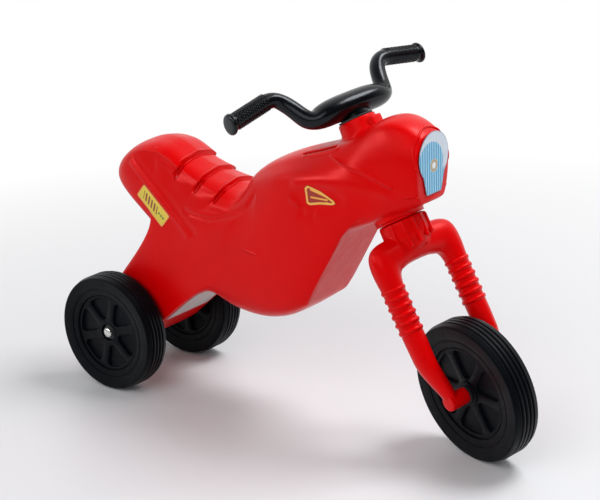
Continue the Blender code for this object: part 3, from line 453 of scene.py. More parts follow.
def red_plastic(name="red_blow_moulded_polyethylene", lines=None):
    roughness = bpy.context.scene.toy_colours.body_roughness
    return moulded_plastic(name, RED, RED_WORN, roughness, 1.52, 0.22, 0.10, 60, RED_SHEEN, lines)


def wheel_plastic():
    roughness = bpy.context.scene.toy_colours.wheel_roughness
    return moulded_plastic("black_satin_polyethylene", WHEEL_BLACK, WHEEL_WORN, roughness,
                           1.42, 0.12, 0.2, 30, WHEEL_SHEEN)


def bar_plastic():
    roughness = bpy.context.scene.toy_colours.bar_roughness
    return moulded_plastic("black_gloss_polyethylene", BAR_BLACK, BAR_WORN, roughness,
                           1.52, 0.12, 0.08, 30, BAR_SHEEN)


def nylon():
    return moulded_plastic("black_moulded_nylon", "1B1B1D", "242426", 0.5, 1.53, 0.05, 0.3, 8)


def steel():
    return bright_steel("zinc_plated_steel", "D6D6D2", 0.24)


# Body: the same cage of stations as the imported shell, rounded finely and then dressed.
# Half widths of the seat, tank, belly, leg and lamp face, where that face stands, and a soft edge
SEAT, TANK, BELLY, LEG, FACE, FACE_X, EDGE = 36, 58, 50, 57, 38, 495.8, 9


def station(top, crown, top_half, shoulder, hip, knee, low_half, bottom, low_edge=EDGE, top_edge=EDGE):
    """One line down the side of the body, from its top middle to its bottom middle."""
    x, z = top
    second = Vector((x, top_half - top_edge, z - crown))
    down = (Vector((shoulder[0], 0, shoulder[2])) - Vector((x, 0, z - crown))).normalized()
    third = Vector((x, top_half, z - crown)) + down * top_edge
    low_x, low_z = bottom
    up = (Vector((knee[0], 0, knee[2])) - Vector((low_x, 0, low_z))).normalized()
    seventh = Vector((low_x, low_half, low_z)) + up * low_edge
    eighth = Vector((low_x, low_half - low_edge, low_z))
    flank = [Vector(shoulder), Vector(hip), Vector(knee)]
    return [Vector((x, 0, z)), second, third] + flank + [seventh, eighth, Vector((low_x, 0, low_z))]


def parting_line(points):
    return [Vector((x, 0, z)) for x, z in points]


def body_stations():
    return [
        parting_line([(-21, 241), (-26, 237), (-31, 232), (-34, 226), (-35, 220),
                      (-34, 215), (-32, 211), (-30, 209), (-26, 208)]),
        station((-4, 253), 2, SEAT - 1, (-13, SEAT + 3, 239), (-19, SEAT + 5, 228),
                (-20, SEAT + 5, 218), SEAT + 3, (-13, 206), 6),
        station((14, 269), 3, SEAT + 4, (12, SEAT + 10, 245), (10, SEAT + 12, 225),
                (11, SEAT + 12, 205), SEAT + 11, (20, 184), 6),
        station((46, 280), 5, SEAT + 5, (48, SEAT + 7, 250), (53, SEAT + 12, 217),
                (56, SEAT + 13, 188), SEAT + 13, (57, 156), 6),
        station((78, 278), 5, SEAT + 4, (80, SEAT + 5, 245), (86, SEAT + 13, 194),
                (70, SEAT + 17, 142), LEG - 3, (10, 98), 6),
        station((106, 258), 5, SEAT + 3, (107, SEAT + 6, 228), (114, SEAT + 15, 179),
                (88, LEG - 4, 118), LEG, (-33, 48), 6),
        station((142, 243), 5, SEAT + 3, (141, SEAT + 8, 217), (142, SEAT + 17, 178),
                (104, LEG - 3, 104), LEG, (-47, 2), 6),
        station((177, 233), 5, SEAT + 3, (174, SEAT + 8, 211), (168, SEAT + 18, 178),
                (118, LEG - 3, 98), LEG, (-20, -36), 6),
        station((199, 228), 5, SEAT + 2, (200, SEAT + 9, 209), (193, SEAT + 19, 182),
                (134, LEG - 3, 98), LEG, (26, -22), 6),
        station((210, 233), 4, SEAT + 1, (217, SEAT + 11, 222), (217, SEAT + 20, 190),
                (150, LEG - 2, 100), LEG, (58, 10), 6),
        station((222, 255), 3, SEAT, (232, SEAT + 13, 236), (240, TANK - 3, 198),
                (168, LEG - 1, 108), LEG, (106, 50), 6),
        station((252, 277), 4, SEAT + 2, (262, TANK - 5, 256), (266, TANK, 205),
                (196, LEG, 114), LEG - 2, (152, 87), 8),
        station((300, 298), 5, SEAT + 4, (303, TANK - 1, 270), (303, TANK + 1, 216),
                (226, LEG + 1, 111), BELLY + 2, (168, 54), 24),
        station((345, 311), 5, SEAT + 3, (347, TANK, 276), (342, TANK, 222),
                (266, LEG, 115), BELLY + 3, (238, 46), 24),
        station((385, 326), 5, SEAT + 2, (390, TANK - 3, 282), (376, TANK - 3, 228),
                (304, BELLY + 6, 125), BELLY + 3, (292, 65), 16),
        station((417, 349), 4, SEAT + 1, (424, TANK - 7, 293), (404, TANK - 7, 232),
                (346, BELLY + 3, 150), BELLY + 1, (324, 90), 8),
        station((446, 362), 4, SEAT, (450, TANK - 11, 306), (430, TANK - 13, 254),
                (404, BELLY - 3, 226), BELLY - 5, (388, 203), 8),
        station((FACE_X - 20, 354), 4, SEAT - 4, (FACE_X - 16, FACE + 6, 314), (FACE_X - 23, FACE + 4, 272),
                (FACE_X - 36, FACE, 248), FACE - 3, (FACE_X - 50, 227), 8),
        station((FACE_X - 3, 341), 3, FACE - 14, (FACE_X - 1, FACE - 1, 313), (FACE_X - 1, FACE - 2, 284),
                (FACE_X - 2, FACE - 4, 268), FACE - 8, (FACE_X - 1, 253), 5, 5),
        parting_line([(FACE_X - 2.5, 339), (FACE_X - 1.5, 332), (FACE_X - 0.5, 324), (FACE_X, 312),
                      (FACE_X, 284), (FACE_X - 0.5, 270), (FACE_X - 0.5, 265), (FACE_X + 2, 259),
                      (FACE_X - 0.5, 254)]),
    ]


# Rows of the cage between two stations, and stations between two rows, that stay crisp
CRISP_ROWS = [
    (4, 1, 4, 0.5),
    (4, 5, 9, 0.35),
    (2, 2, 9, 0.55),
    (3, 11, 15, 0.3),
    (7, 3, 11, 0.35),
    (7, 15, 16, 0.9),
    (6, 15, 16, 0.5),
]
CRISP_STATIONS = [
    (3, 5, 8, 0.6),
    (15, 6, 8, 0.8),
    (16, 5, 8, 0.8),
    (9, 0, 3, 0.3),
    (18, 0, 8, 0.75),
]


def crease_body(mesh, rows):
    wanted = {}
    for row, first, last, strength in CRISP_ROWS:
        for i in range(first, last):
            wanted[(i * rows + row, (i + 1) * rows + row)] = strength
    for place, first, last, strength in CRISP_STATIONS:
        for j in range(first, last):
            wanted[(place * rows + j, place * rows + j + 1)] = strength
    layer = mesh.attributes.new("crease_edge", "FLOAT", "EDGE")
    for edge in mesh.edges:
        layer.data[edge.index].value = wanted.get(tuple(sorted(edge.vertices)), 0.0)


def step(value, low, high):
    """0 below low, 1 above high, and a soft step between."""
    t = np.clip((value - low) / (high - low), 0, 1)
    return t * t * (3 - 2 * t)


def bump_at(distance, width):
    return np.exp(-(distance / width) ** 2)


def from_line(x, z, line):
    """Distance of each point to a line in the side view, and how far it lies above the line."""
    best = np.full(len(x), 1e9)
    above = np.zeros(len(x))
    for (x0, z0), (x1, z1) in zip(line, line[1:]):
        along = np.array([x1 - x0, z1 - z0])
        reach = np.hypot(*along)
        along = along / reach
        t = np.clip((x - x0) * along[0] + (z - z0) * along[1], 0, reach)
        away = np.hypot(x - x0 - t * along[0], z - z0 - t * along[1])
        side = (z - z0) * along[0] - (x - x0) * along[1]
        above = np.where(away < best, np.sign(side) * away, above)
        best = np.minimum(best, away)
    return best, above


# Lines on the flank in the side view, x and z in mm from the rear axle, and on the tank from above
SEAT_LIPS, SEAT_START, SEAT_END = (106, 142, 177), 66, 212
SEAT_HALF, LIP_BEND = 35, 2.0
SEAT_EDGE = [(60, 268), (78, 262), (104, 247), (138, 233), (172, 224), (206, 218)]
TAIL_RIDGE = [(19, 243), (55, 214), (93, 182), (125, 156)]
SEAT_SKIRT = [(120, 190), (136, 188), (167, 188), (203, 199), (230, 213), (242, 229)]
TANK_CREASE = [(366, 302), (400, 295), (424, 288), (446, 281), (462, 274)]
FLANK_BULGE = [(322, 264), (360, 271), (407, 273), (450, 267)]
BADGE_WELL = (356, 247)
WELL_FOOT = [(326, 228), (354, 225)]
SHORT_MARKS = [[(311, 239), (325, 233)], [(227, 156), (251, 152)], [(479, 263), (495, 266)]]
TANK_SLIT = [(317, 30), (367, 30)]


def shifted(line, x, z):
    return [(px + x, pz + z) for px, pz in line]


def seat_edge_at(x):
    """Height of the saddle's edge on the flank."""
    return np.interp(x, [p[0] for p in SEAT_EDGE], [p[1] for p in SEAT_EDGE])


def lip_hook(lip):
    """The dark scallop at the near end of a saddle lip."""
    edge = float(seat_edge_at(lip))
    return [(lip, edge + 1), (lip - 8, edge - 14)]


# Fine lines of the mould that the material draws: line, height and half width in mm
SIDE_LINES = [
    ([(24, 250), (80, 207), (136, 161)], -0.7, 10.0),
    ([(118, 191), (150, 186), (180, 189), (206, 200), (228, 214), (244, 232)], -0.8, 8.0),
    ([(128, 183), (165, 181), (196, 190)], 0.6, 2.6),
    ([(366, 302), (424, 288), (462, 274)], 0.9, 2.6),
    ([(60, 268), (104, 247)], 0.5, 3.0),
]
SIDE_LINES += [(line, 0.9, 2.2) for line in SHORT_MARKS]
SIDE_LINES += [(lip_hook(lip), -2.6, 3.6) for lip in SEAT_LIPS]
TOP_LINES = [(TANK_SLIT, -3.4, 3.4), (shifted(TANK_SLIT, 0, 4.5), 1.2, 3.0)]
# The bright and the dark line of a saddle lip: place from the lip, height and half width in mm
LIP_BEADS = ((-1.6, 0.9, 2.4), (1.8, -1.6, 2.6))
# Ridges that the skin itself carries: line, height and width in mm
FLANK_RIDGES = [(TAIL_RIDGE, 1.5, 3.2), (FLANK_BULGE, 2.4, 9.0)]
FLANK_RIDGES += [(line, 0.9, 1.8) for line in SHORT_MARKS]


def seat_relief(x, y, z, settings):
    """Four pads that overlap like slates: each rises to a lip, which drops to the next pad."""
    side = np.abs(y)
    drop = np.clip(seat_edge_at(x) - z, 0, None) * step(side, 26, 34)
    s = x + 0.56 * drop + LIP_BEND * (side / SEAT_HALF) ** 2
    height = np.zeros(len(x))
    ends = (SEAT_START,) + SEAT_LIPS + (SEAT_END,)
    for first, last in zip(ends, ends[1:]):
        inside = step(s, first - 0.4, first + 0.4) * (1 - step(s, last - 0.4, last + 0.4))
        low = 0.0 if first == SEAT_START else -0.5
        high = -0.1 if last == SEAT_END else 0.5
        height += inside * (low + (high - low) * np.clip((s - first) / (last - first), 0, 1))
    fade = (1 - step(drop, 8, 22)) * step(z, 195, 205)
    waves = np.abs(np.sin(np.pi * np.clip((s - 70) / 36, 0, 4)))
    lobes = 1.3 * bump_at(drop - 20, 12) * waves * step(drop, 4, 10)
    ridge = 1.3 * step(x, 20, 50) * (1 - step(x, 196, 206)) * np.clip(1 - side / 16, 0, 1)
    here = step(x, 60, 66) * (1 - step(x, 206, 214)) * step(z, 196, 204)
    return settings.seat_lip / MM * height * fade + lobes * here + ridge * step(z, 215, 225)


def flank_relief(x, y, z, settings):
    """The ridges, the skirt under the seat, the tank's crease and the shallow well of the badge."""
    height = np.zeros(len(x))
    for line, tall, wide in FLANK_RIDGES:
        height += tall * bump_at(from_line(x, z, line)[0], wide)
    away, above = from_line(x, z, SEAT_SKIRT)
    raised, sunk = 1.5 * np.exp(-away / 14), -1.5 * np.exp(-away / 10)
    skirt = sunk + (raised - sunk) * step(above, -3, 3)
    height += skirt * step(x, 112, 132) * (1 - step(x, 240, 250))
    away, above = from_line(x, z, TANK_CREASE)
    height += (1.0 * bump_at(away, 2.2) - 0.7 * np.exp(-away / 8) * (above < 0)) * step(x, 360, 380)
    well = np.hypot((x - BADGE_WELL[0]) / 42, (z - BADGE_WELL[1]) / 20)
    height -= 1.6 * (1 - step(well, 0.75, 1.1))
    away, above = from_line(x, z, WELL_FOOT)
    facet = (above < 0) * np.clip(1 - away / 17, 0, 1)
    facet = facet * step(x, 322, 329) * (1 - step(x + 0.6 * away, 350, 358))
    height -= 2.6 * facet * (1 - away / 20)
    return height * step(np.abs(y), 28, 36) * settings.flank_relief


def top_relief(x, y, z):
    """The slits on the tank, and a low rim round their ends."""
    side = np.abs(y)
    slit = -2.4 * bump_at(from_line(x, side, TANK_SLIT)[0], 2.0)
    rim = 1.0 * bump_at(np.hypot(np.clip(np.abs(x - 352) - 20, 0, None), side - 35), 2.5)
    return (slit + rim) * step(z, 270, 285)


def arc(centre, radius, start, end, count):
    angles = [math.radians(start + (end - start) * i / count) for i in range(count + 1)]
    return [(centre[0] + radius * math.cos(a), centre[1] + radius * math.sin(a)) for a in angles]


def bead_along(name, path, radius, sides=12):
    """A round bead along a path, drawn in to a point at each end."""
    rings = []
    for i, spot in enumerate(path):
        way = (path[min(i + 1, len(path) - 1)] - path[max(i - 1, 0)]).normalized()
        out = way.cross(Vector((1, 0, 0))).normalized()
        over = way.cross(out)
        size = radius * math.sin(math.pi / 2 * min(1.0, (i + 0.2) / 4, (len(path) - 0.8 - i) / 4))
        rings.append([spot + (out * math.cos(a) + over * math.sin(a)) * size for a in angles_of(sides)])
    return cleaned(skinned(name, rings, closed=True, cap_start=True, cap_end=True), 0.000001)


class BodySettings(bpy.types.PropertyGroup):
    seat_lip: length("Seat lip", "Drop from one saddle pad to the next", 4.2)
    flank_relief: FloatProperty(name="Flank relief", default=1.0,
                                description="Strength of the lines moulded in the flanks")
    levels: IntProperty(name="Levels", description="How finely the body is rounded", default=4, min=1, max=4)


NECK_HALF, TOWER_TOP, TOWER_FOOT = 33 * MM, 25 * MM, 30 * MM
TOWER_HIGH, TOWER_LENGTH, STEM_HOLE = 137 * MM, 62 * MM, 16 * MM
STOP_SIZE = (28 * MM, 20 * MM, 24 * MM)


def tower_wall(height):
    share = min(1.4, max(0.0, (TOWER_HIGH - height) / TOWER_LENGTH))
    return TOWER_TOP + (TOWER_FOOT - TOWER_TOP) * share


def neck_wall(height):
    """The neck block is as wide at every height."""
    return NECK_HALF


class TOY_OT_body(bpy.types.Operator):
    """Makes the red body shell with its saddle pads, tank, head, tower and stop"""

    bl_idname = "toy.body"
    bl_label = "Body"

    def execute(self, context):
        settings = context.scene.toy_body
        rings = [scaled(line) for line in body_stations()]
        cage = skinned("body_cage", rings, closed=False)
        crease_body(cage, len(rings[0]))
        skin = rounded(cage, settings.levels, mirrored=True)
        self.dress(skin, settings)
        skin.transform(AXLE)
        to_neck = RAKED.inverted()
        local = skin.copy()
        local.transform(to_neck)
        tree = tree_of(local)
        self.seat_neck(skin, to_neck)
        tower = grown_stub("tower", tree, tower_wall, TOWER_HIGH, STEM_HOLE, 7 * MM,
                           (TOWER_FOOT, TOWER_HIGH - TOWER_LENGTH))
        neck = grown_stub("neck_block", tree, neck_wall, 0.0, STEM_HOLE, 5 * MM, (NECK_HALF, 12 * MM))
        stop = soft_box("stop", STOP_SIZE, 2.5 * MM)
        stop.transform(at(19, 0, 120))
        parts = [skin, self.lamp_rim(tree_of(skin))]
        for mesh in (tower, neck, stop):
            mesh.transform(RAKED)
            parts.append(mesh)
        red = red_plastic("red_moulded_body", moulded_lines)
        finished("body_skin", joined("body_skin", parts), red, "frame", "body_shell", crease=50)
        return {"FINISHED"}

    def dress(self, mesh, settings):
        """Moves the skin in and out by the relief of the seat, the flanks and the tank."""
        points = np.zeros(len(mesh.vertices) * 3)
        mesh.vertices.foreach_get("co", points)
        points = points.reshape(-1, 3)
        normals = np.array([normal.vector for normal in mesh.vertex_normals])
        points = self.gather_at_lips(points, normals)
        x, y, z = (points / MM).T
        height = seat_relief(x, y, z, settings) + flank_relief(x, y, z, settings) + top_relief(x, y, z)
        points += normals * (height * MM)[:, None]
        mesh.vertices.foreach_set("co", points.ravel())
        mesh.update()

    def lamp_rim(self, skin):
        """The raised bead round the upper part of the lamp face."""
        path = []
        for y, z in arc((0, 310.5), 35.6, -28, 208, 60):
            start = AXLE @ (Vector((540, y, z)) * MM)
            path.append(skin.ray_cast(start, Vector((-1, 0, 0)))[0] + Vector((-0.4 * MM, 0, 0)))
        return bead_along("lamp_rim", path, 2.0 * MM)

    def gather_at_lips(self, points, normals):
        """Moves the mesh lines near a saddle lip towards it, so that the lip is crisp."""
        x, y, z = (points / MM).T
        reach = 8.0
        shift = np.zeros(len(x))
        for lip in SEAT_LIPS:
            t = (x + LIP_BEND * (np.abs(y) / SEAT_HALF) ** 2 - lip) / reach
            shift += np.where(np.abs(t) < 1, (np.sign(t) * t * t - t) * reach, 0.0)
        shift *= step(z, 200, 212) * step(44 - np.abs(y), 0, 8)
        along = np.array([1.0, 0.0, 0.0]) - normals * normals[:, :1]
        along /= np.maximum(np.linalg.norm(along, axis=1), 1e-6)[:, None]
        return points + along * (shift * MM)[:, None]

    def seat_neck(self, mesh, to_neck):
        """Keeps the skin out of the way of the ring under the head."""
        level, reach, depth = 0.4 * MM, 37 * MM, 30 * MM
        for vertex in mesh.vertices:
            local = to_neck @ vertex.co
            if -depth < local.z < level and math.hypot(local.x, local.y) < reach:
                local.z = level
                vertex.co = RAKED @ local


# Wheels: a turned tyre and dish, with six spokes that Geometry Nodes repeat round the hub
class WheelSettings(bpy.types.PropertyGroup):
    spokes: IntProperty(name="Spokes", description="Spokes in each dish", default=6, min=3, max=12)
    tread_grooves: IntProperty(name="Tread grooves", description="Grooves that run round the tread",
                               default=4, min=0, max=8)
    groove_depth: length("Groove depth", "Depth of a tread groove", 1.9)
    width: length("Width", "Width of a wheel", 38.7)


def tread_profile(radius, settings):
    """Radius and place in mm along the axle, round the tread from one shoulder to the other."""
    half, depth = settings.width / MM / 2, settings.groove_depth / MM
    shoulder = half - 3
    side = [(radius * 0.93, half - 0.4), (radius * 0.955, half), (radius * 0.968, half - 0.3),
            (radius * 0.978, half - 1.6), (radius * 0.982, shoulder)]
    pitch = 2 * shoulder / (settings.tread_grooves + 1)
    slope = ((0.2, 2.1), (0.5, 1.5), (depth, 0.7))
    points = list(side)
    for i in range(settings.tread_grooves):
        middle = shoulder - pitch * (i + 1)
        points += [(radius - sunk, middle + 0.9 * share) for sunk, share in slope]
        points += [(radius - sunk, middle - 0.9 * share) for sunk, share in reversed(slope)]
    return points + [(r, -z) for r, z in reversed(side)]


def wheel_profile(radius, hub, settings):
    """The whole wheel in mm: hub, floor of the dish, stepped rim, tread, and the same again behind."""
    barrel, half = max(hub, 13.5), settings.width / MM / 2
    face = [(7.8, hub - 0.3), (8.2, hub), (11.8, hub), (12.3, barrel - 0.4), (12.8, barrel), (15.5, barrel),
            (17, barrel - 0.9), (18, 9.6), (19.5, 8.8)]
    rim = [(0.585, 8.8), (0.60, 9.8), (0.607, 13.0), (0.615, 13.6), (0.643, 13.6), (0.650, 12.8),
           (0.662, 12.8), (0.672, 15.6), (0.69, 16.0), (0.755, 16.6), (0.763, 16.1), (0.775, 16.1),
           (0.784, 17.2), (0.83, 18.1), (0.88, half - 0.7)]
    face += [(radius * share, z) for share, z in rim]
    return face + tread_profile(radius, settings) + [(r, -z) for r, z in reversed(face)]


def spoke_mesh(radius):
    """One spoke: a bar with waisted sides, as high as the rim of the dish."""
    inner, outer = 15, radius * 0.61
    low, high, soft = 8.0, 13.3, 1.2
    rings = []
    for i in range(9):
        t = i / 8
        half = 6.2 + 5 * (max(0.0, 1 - t / 0.22) ** 2 + max(0.0, (t - 0.82) / 0.18) ** 2)
        edge = [(half + 0.8, low), (half, high - soft), (half - 0.35 * soft, high - 0.35 * soft),
                (half - soft, high)]
        ring = [(-y, z) for y, z in edge] + edge[::-1]
        rings.append([Vector(((inner + (outer - inner) * t) * MM, y * MM, z * MM)) for y, z in ring])
    return cleaned(skinned("spoke", rings, closed=True, cap_start=True, cap_end=True))


def new_group(name, inputs):
    """A Geometry Nodes tree with a mesh, the inputs given and a material going in."""
    group = bpy.data.node_groups.new(name, "GeometryNodeTree")
    for title, kind in {"Geometry": "Geometry", **inputs, "Material": "Material"}.items():
        group.interface.new_socket(title, in_out="INPUT", socket_type="NodeSocket" + kind)
    group.interface.new_socket("Geometry", in_out="OUTPUT", socket_type="NodeSocketGeometry")
    return group, add(group, "NodeGroupInput").node.outputs


def end_group(group, given, pieces):
    """Joins the pieces to the mesh that came in, makes the copies real and gives the material."""
    both = add(group, "GeometryNodeJoinGeometry", [[given["Geometry"], *pieces]])
    real = add(group, "GeometryNodeRealizeInstances", [both])
    coloured = add(group, "GeometryNodeSetMaterial", {"Geometry": real, "Material": given["Material"]})
    add(group, "NodeGroupOutput", [coloured])
    return group


def with_nodes(mesh, group, values):
    """Gives a mesh a Geometry Nodes modifier, sets its inputs and makes the result a mesh."""
    item = add_object(mesh.name, mesh)
    modifier = item.modifiers.new("nodes", "NODES")
    modifier.node_group = group
    sockets = [entry for entry in group.interface.items_tree if entry.in_out == "INPUT"]
    for socket in sockets:
        if socket.name in values:
            modifier[socket.identifier] = values[socket.name]
    return baked(item)


def repeat_round_tree():
    """Copies an object round the Z axis, on both faces of a wheel."""
    group, given = new_group("repeat_round", {"Piece": "Object", "Count": "Int", "Turn": "Float"})
    piece = add(group, "GeometryNodeObjectInfo", {"Object": given["Piece"]}, "Geometry")
    points = add(group, "GeometryNodePoints", {"Count": given["Count"]})
    index = add(group, "GeometryNodeInputIndex")
    share = add(group, "Math", [index, given["Count"]], operation="DIVIDE")
    angle = add(group, "Math", [share, 2 * math.pi, given["Turn"]], operation="MULTIPLY_ADD")
    around = add(group, "CombineXYZ", {"Z": angle})
    copies = add(group, "GeometryNodeInstanceOnPoints", {"Points": points, "Instance": piece,
                                                         "Rotation": around})
    far = add(group, "GeometryNodeTransform", {"Geometry": copies, "Rotation": (math.pi, 0, 0)})
    return end_group(group, given, [copies, far])


REAR_HUB, FRONT_HUB_HALF = 8, 15.5
# Each wheel: name, radius and half width of its hub in mm, place, and turn of its spokes in radians
WHEELS = [
    ("rear_wheel_right", 85, REAR_HUB, Matrix.Translation(REAR_RIGHT), 0.30),
    ("rear_wheel_left", 85, REAR_HUB, Matrix.Translation(REAR_LEFT), 0.62),
    ("front_wheel", 95.7, FRONT_HUB_HALF, FRONT_HUB, 0.55),
]


class TOY_OT_wheels(bpy.types.Operator):
    """Makes the three wheels, their tread grooves and spokes"""

    bl_idname = "toy.wheels"
    bl_label = "Wheels"

    def execute(self, context):
        settings = context.scene.toy_wheels
        group, black = repeat_round_tree(), wheel_plastic()
        for name, radius, hub, place, first_angle in WHEELS:
            spoke = add_object("spoke", spoke_mesh(radius))
            disc = turned(name, metres(wheel_profile(radius, hub, settings)), 144)
            mesh = with_nodes(disc, group, {"Piece": spoke, "Count": settings.spokes, "Turn": first_angle,
                                            "Material": black})
            bpy.data.objects.remove(spoke, do_unlink=True)
            finished(f"{name}_tyre", mesh, black, name, name, place @ turn(90, "X"), 32)
        return {"FINISHED"}


# Axle ends: bushes, washers, spacers and push caps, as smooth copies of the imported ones, in mm
GAP, FLANGE, WASHER, AXLE_RADIUS = 0.3, 1.5, 1.0, 4


def flange_profile(bore, sleeve, rim, thickness, reach):
    return soft_profile([(rim, thickness), (rim, 0), (sleeve, 0), (sleeve, -reach), (bore, -reach),
                         (bore, thickness)], 0.35)


def ring_profile(bore, rim, width, soft):
    return soft_profile([(rim, width), (rim, 0), (bore, 0), (bore, width)], soft)


def cap_profile():
    """A push cap: a shallow dome on a short skirt, with a bright turned rim."""
    rim, height, dome, bore, depth = 7.2, 5.6, 3.2, 4.3, 4.4
    points = [(0, height)]
    for angle in range(84, 0, -6):
        way = math.radians(angle)
        points.append((rim * math.cos(way), height - dome + dome * math.sin(way)))
    points += [(rim, height - dome), (rim, 0.6), (rim - 0.5, 0), (bore, 0), (bore, depth), (0, depth)]
    return metres(points)


class TOY_OT_axle_ends(bpy.types.Operator):
    """Makes the bushes, washers, spacers and caps at the axles' ends"""

    bl_idname = "toy.axle_ends"
    bl_label = "Axle ends"

    def execute(self, context):
        surfaces = {"nylon": nylon(), "steel": steel()}
        bush = flange_profile(AXLE_RADIUS + GAP, 7.5, 11, FLANGE, 7)
        washer = ring_profile(AXLE_RADIUS + GAP, 9.5, WASHER, 0.25)
        spacer = ring_profile(AXLE_RADIUS + GAP, 8.3, 13.5, 0.5)
        wheel = abs(REAR_RIGHT.y - NECK.y) / MM
        for side, sign in SIDES:
            out, inward = OUTWARD[side], OUTWARD["left" if side == "right" else "right"]
            hub = f"rear_wheel_{side}"
            seats = [
                (f"{hub}_outer_bush", bush, wheel + REAR_HUB + GAP, out, hub),
                (f"{hub}_inner_bush", bush, wheel - REAR_HUB - GAP, inward, hub),
                (f"rear_axle_bush_{side}", bush, LEG + GAP, out, "frame"),
                (f"rear_spacer_{side}", spacer, LEG + 2 * GAP + FLANGE, out, "frame"),
                (f"rear_axle_washer_{side}", washer, wheel + REAR_HUB + 2 * GAP + FLANGE, out, "frame"),
                (f"rear_axle_cap_{side}", cap_profile(), wheel + REAR_HUB + 3 * GAP + FLANGE + WASHER, out,
                 "frame"),
                (f"front_wheel_bush_{side}", bush, FRONT_HUB_HALF + GAP, out, "front_wheel"),
                (f"front_washer_{side}", washer, FRONT_HUB_HALF + 2 * GAP + FLANGE, out, "steering"),
            ]
            for node, profile, place, way, body in seats:
                slot = "steel" if "cap" in node else "nylon"
                middle = FRONT_HUB if node.startswith("front") else AXLE
                matrix = middle @ at(0, sign * place, 0) @ way
                finished(f"{node}_round", turned(node, profile), surfaces[slot], body, node, matrix)
        return {"FINISHED"}


# Fork: a blow-moulded arch with ribbed upper legs and plain lower legs, in mm from the foot of the neck
class ForkSettings(bpy.types.PropertyGroup):
    ribs: IntProperty(name="Ribs", description="Ribs on each leg", default=6, min=1, max=12)
    rib_pitch: length("Rib pitch", "From one rib to the next", 11)
    rib_height: length("Rib height", "How far a rib stands out", 3.5)
    spread: length("Spread", "From the middle to a leg's middle", 54)


CROWN, LEG_RADIUS, RIB_TOP, RIB_CORE = -39, 15.5, -81, 13.2
DOWN, SIDEWAYS = (0, -1), (1, 0)
# The pegs round the neck: turn in degrees, radius and length
PEGS = ((-62, 2.4, 30), (-34, 2.4, 36), (-8, 2.4, 36), (18, 2.4, 32), (44, 3.8, 30))


def section(side, up, direction, half_width, half_depth, forward=0.0, count=8):
    """A ring of control points across a path in the plane of the fork or the handlebar.

    It is grown so that the rounded skin has the size given.
    """
    across = Vector((0, direction[1], -direction[0])).normalized()
    growth = 6 / (4 + 2 * math.cos(2 * math.pi / count))
    points = []
    for i in range(count):
        angle = 2 * math.pi * (i + 0.5) / count
        wide = across * (half_width * MM * math.cos(angle) * growth)
        deep = Vector((half_depth * MM * math.sin(angle) * growth, 0, 0))
        points.append(Vector((forward * MM, side * MM, up * MM)) + wide + deep)
    return points


def fork_rings(settings):
    spread, axle = settings.spread / MM, -FORK_REACH / MM
    thick, deep, tube, boss = 19.5, 17, LEG_RADIUS, 40
    foot, taper = RIB_TOP - settings.ribs * settings.rib_pitch / MM - 4, axle + 52
    rows = [
        (0, CROWN, SIDEWAYS, thick, deep + 2),
        (20, CROWN, SIDEWAYS, thick, deep + 1),
        (spread - 20, CROWN - 2, (1, -0.15), thick + 3, deep),
        (spread - 3, CROWN - 3, (1, -1), thick + 7, deep),
        (spread, CROWN - thick - 2, (0.1, -1), tube + 2, deep),
        (spread, RIB_TOP + 7, DOWN, tube, tube),
    ]
    for i in range(3):
        rows.append((spread, RIB_TOP + (foot - RIB_TOP) * (i + 0.5) / 3, DOWN, tube - 0.8, tube - 0.8))
    rows += [
        (spread, foot, DOWN, 14.5, 16),
        (spread, (foot + taper) / 2, DOWN, 13.5, 16),
        (spread, taper, DOWN, 13.5, 16),
        (boss + 3, axle + 18, (-0.2, -1), 10, 12),
        (boss, axle, DOWN, 7, 11),
        (boss, axle - 7, DOWN, 6, 7.7),
    ]
    return [section(*row) for row in rows]


def fused(name, meshes, voxel, passes):
    """Closed pieces made one skin, with a soft fillet wherever they meet."""
    item = add_object(name, joined(name, meshes))
    fuse = item.modifiers.new("fuse", "REMESH")
    fuse.mode = "VOXEL"
    fuse.voxel_size = voxel
    fuse.use_smooth_shade = True
    soften = item.modifiers.new("soften", "SMOOTH")
    soften.factor = 0.5
    soften.iterations = passes
    return baked(item)


def arch_fillet(sign, leg, arch, radius, half_depth, reach=8):
    """The rounded inner corner between the arch and one leg."""
    outline = arc((leg - radius, arch - radius), radius, 90, 0, 6)
    outline += [(leg + reach, arch - radius), (leg + reach, arch + reach), (leg - radius, arch + reach)]
    rings = []
    for depth in (-half_depth, half_depth):
        rings.append([Vector((depth * MM, sign * y * MM, z * MM)) for y, z in outline])
    return cleaned(skinned("fillet", rings, closed=True, cap_start=True, cap_end=True))


def ribs_along_tree():
    """Puts ribs down a leg: a bead swept round the leg, copied along a line."""
    group, given = new_group("ribs_along", {"Count": "Int", "Pitch": "Float", "Leg Radius": "Float",
                                            "Bead Radius": "Float", "Start": "Vector"})
    leg = add(group, "GeometryNodeCurvePrimitiveCircle", {"Resolution": 64, "Radius": given["Leg Radius"]})
    bead = add(group, "GeometryNodeCurvePrimitiveCircle", {"Resolution": 16, "Radius": given["Bead Radius"]})
    swept = add(group, "GeometryNodeCurveToMesh", {"Curve": leg, "Profile Curve": bead})
    down = add(group, "CombineXYZ", {"Z": add(group, "Math", [given["Pitch"], -1.0], operation="MULTIPLY")})
    line = add(group, "GeometryNodeMeshLine", {"Count": given["Count"], "Start Location": given["Start"],
                                               "Offset": down})
    copies = add(group, "GeometryNodeInstanceOnPoints", {"Points": line, "Instance": swept})
    return end_group(group, given, [copies])


def capsule(name, radius, reach):
    """A round peg with two domed ends."""
    points = [(0, reach)]
    for middle, angles in ((reach - radius, range(15, 91, 15)), (radius, range(90, 180, 15))):
        for angle in angles:
            way = math.radians(angle)
            points.append((radius * math.sin(way), middle + radius * math.cos(way)))
    return turned(name, metres(points + [(0, 0)]), 12)


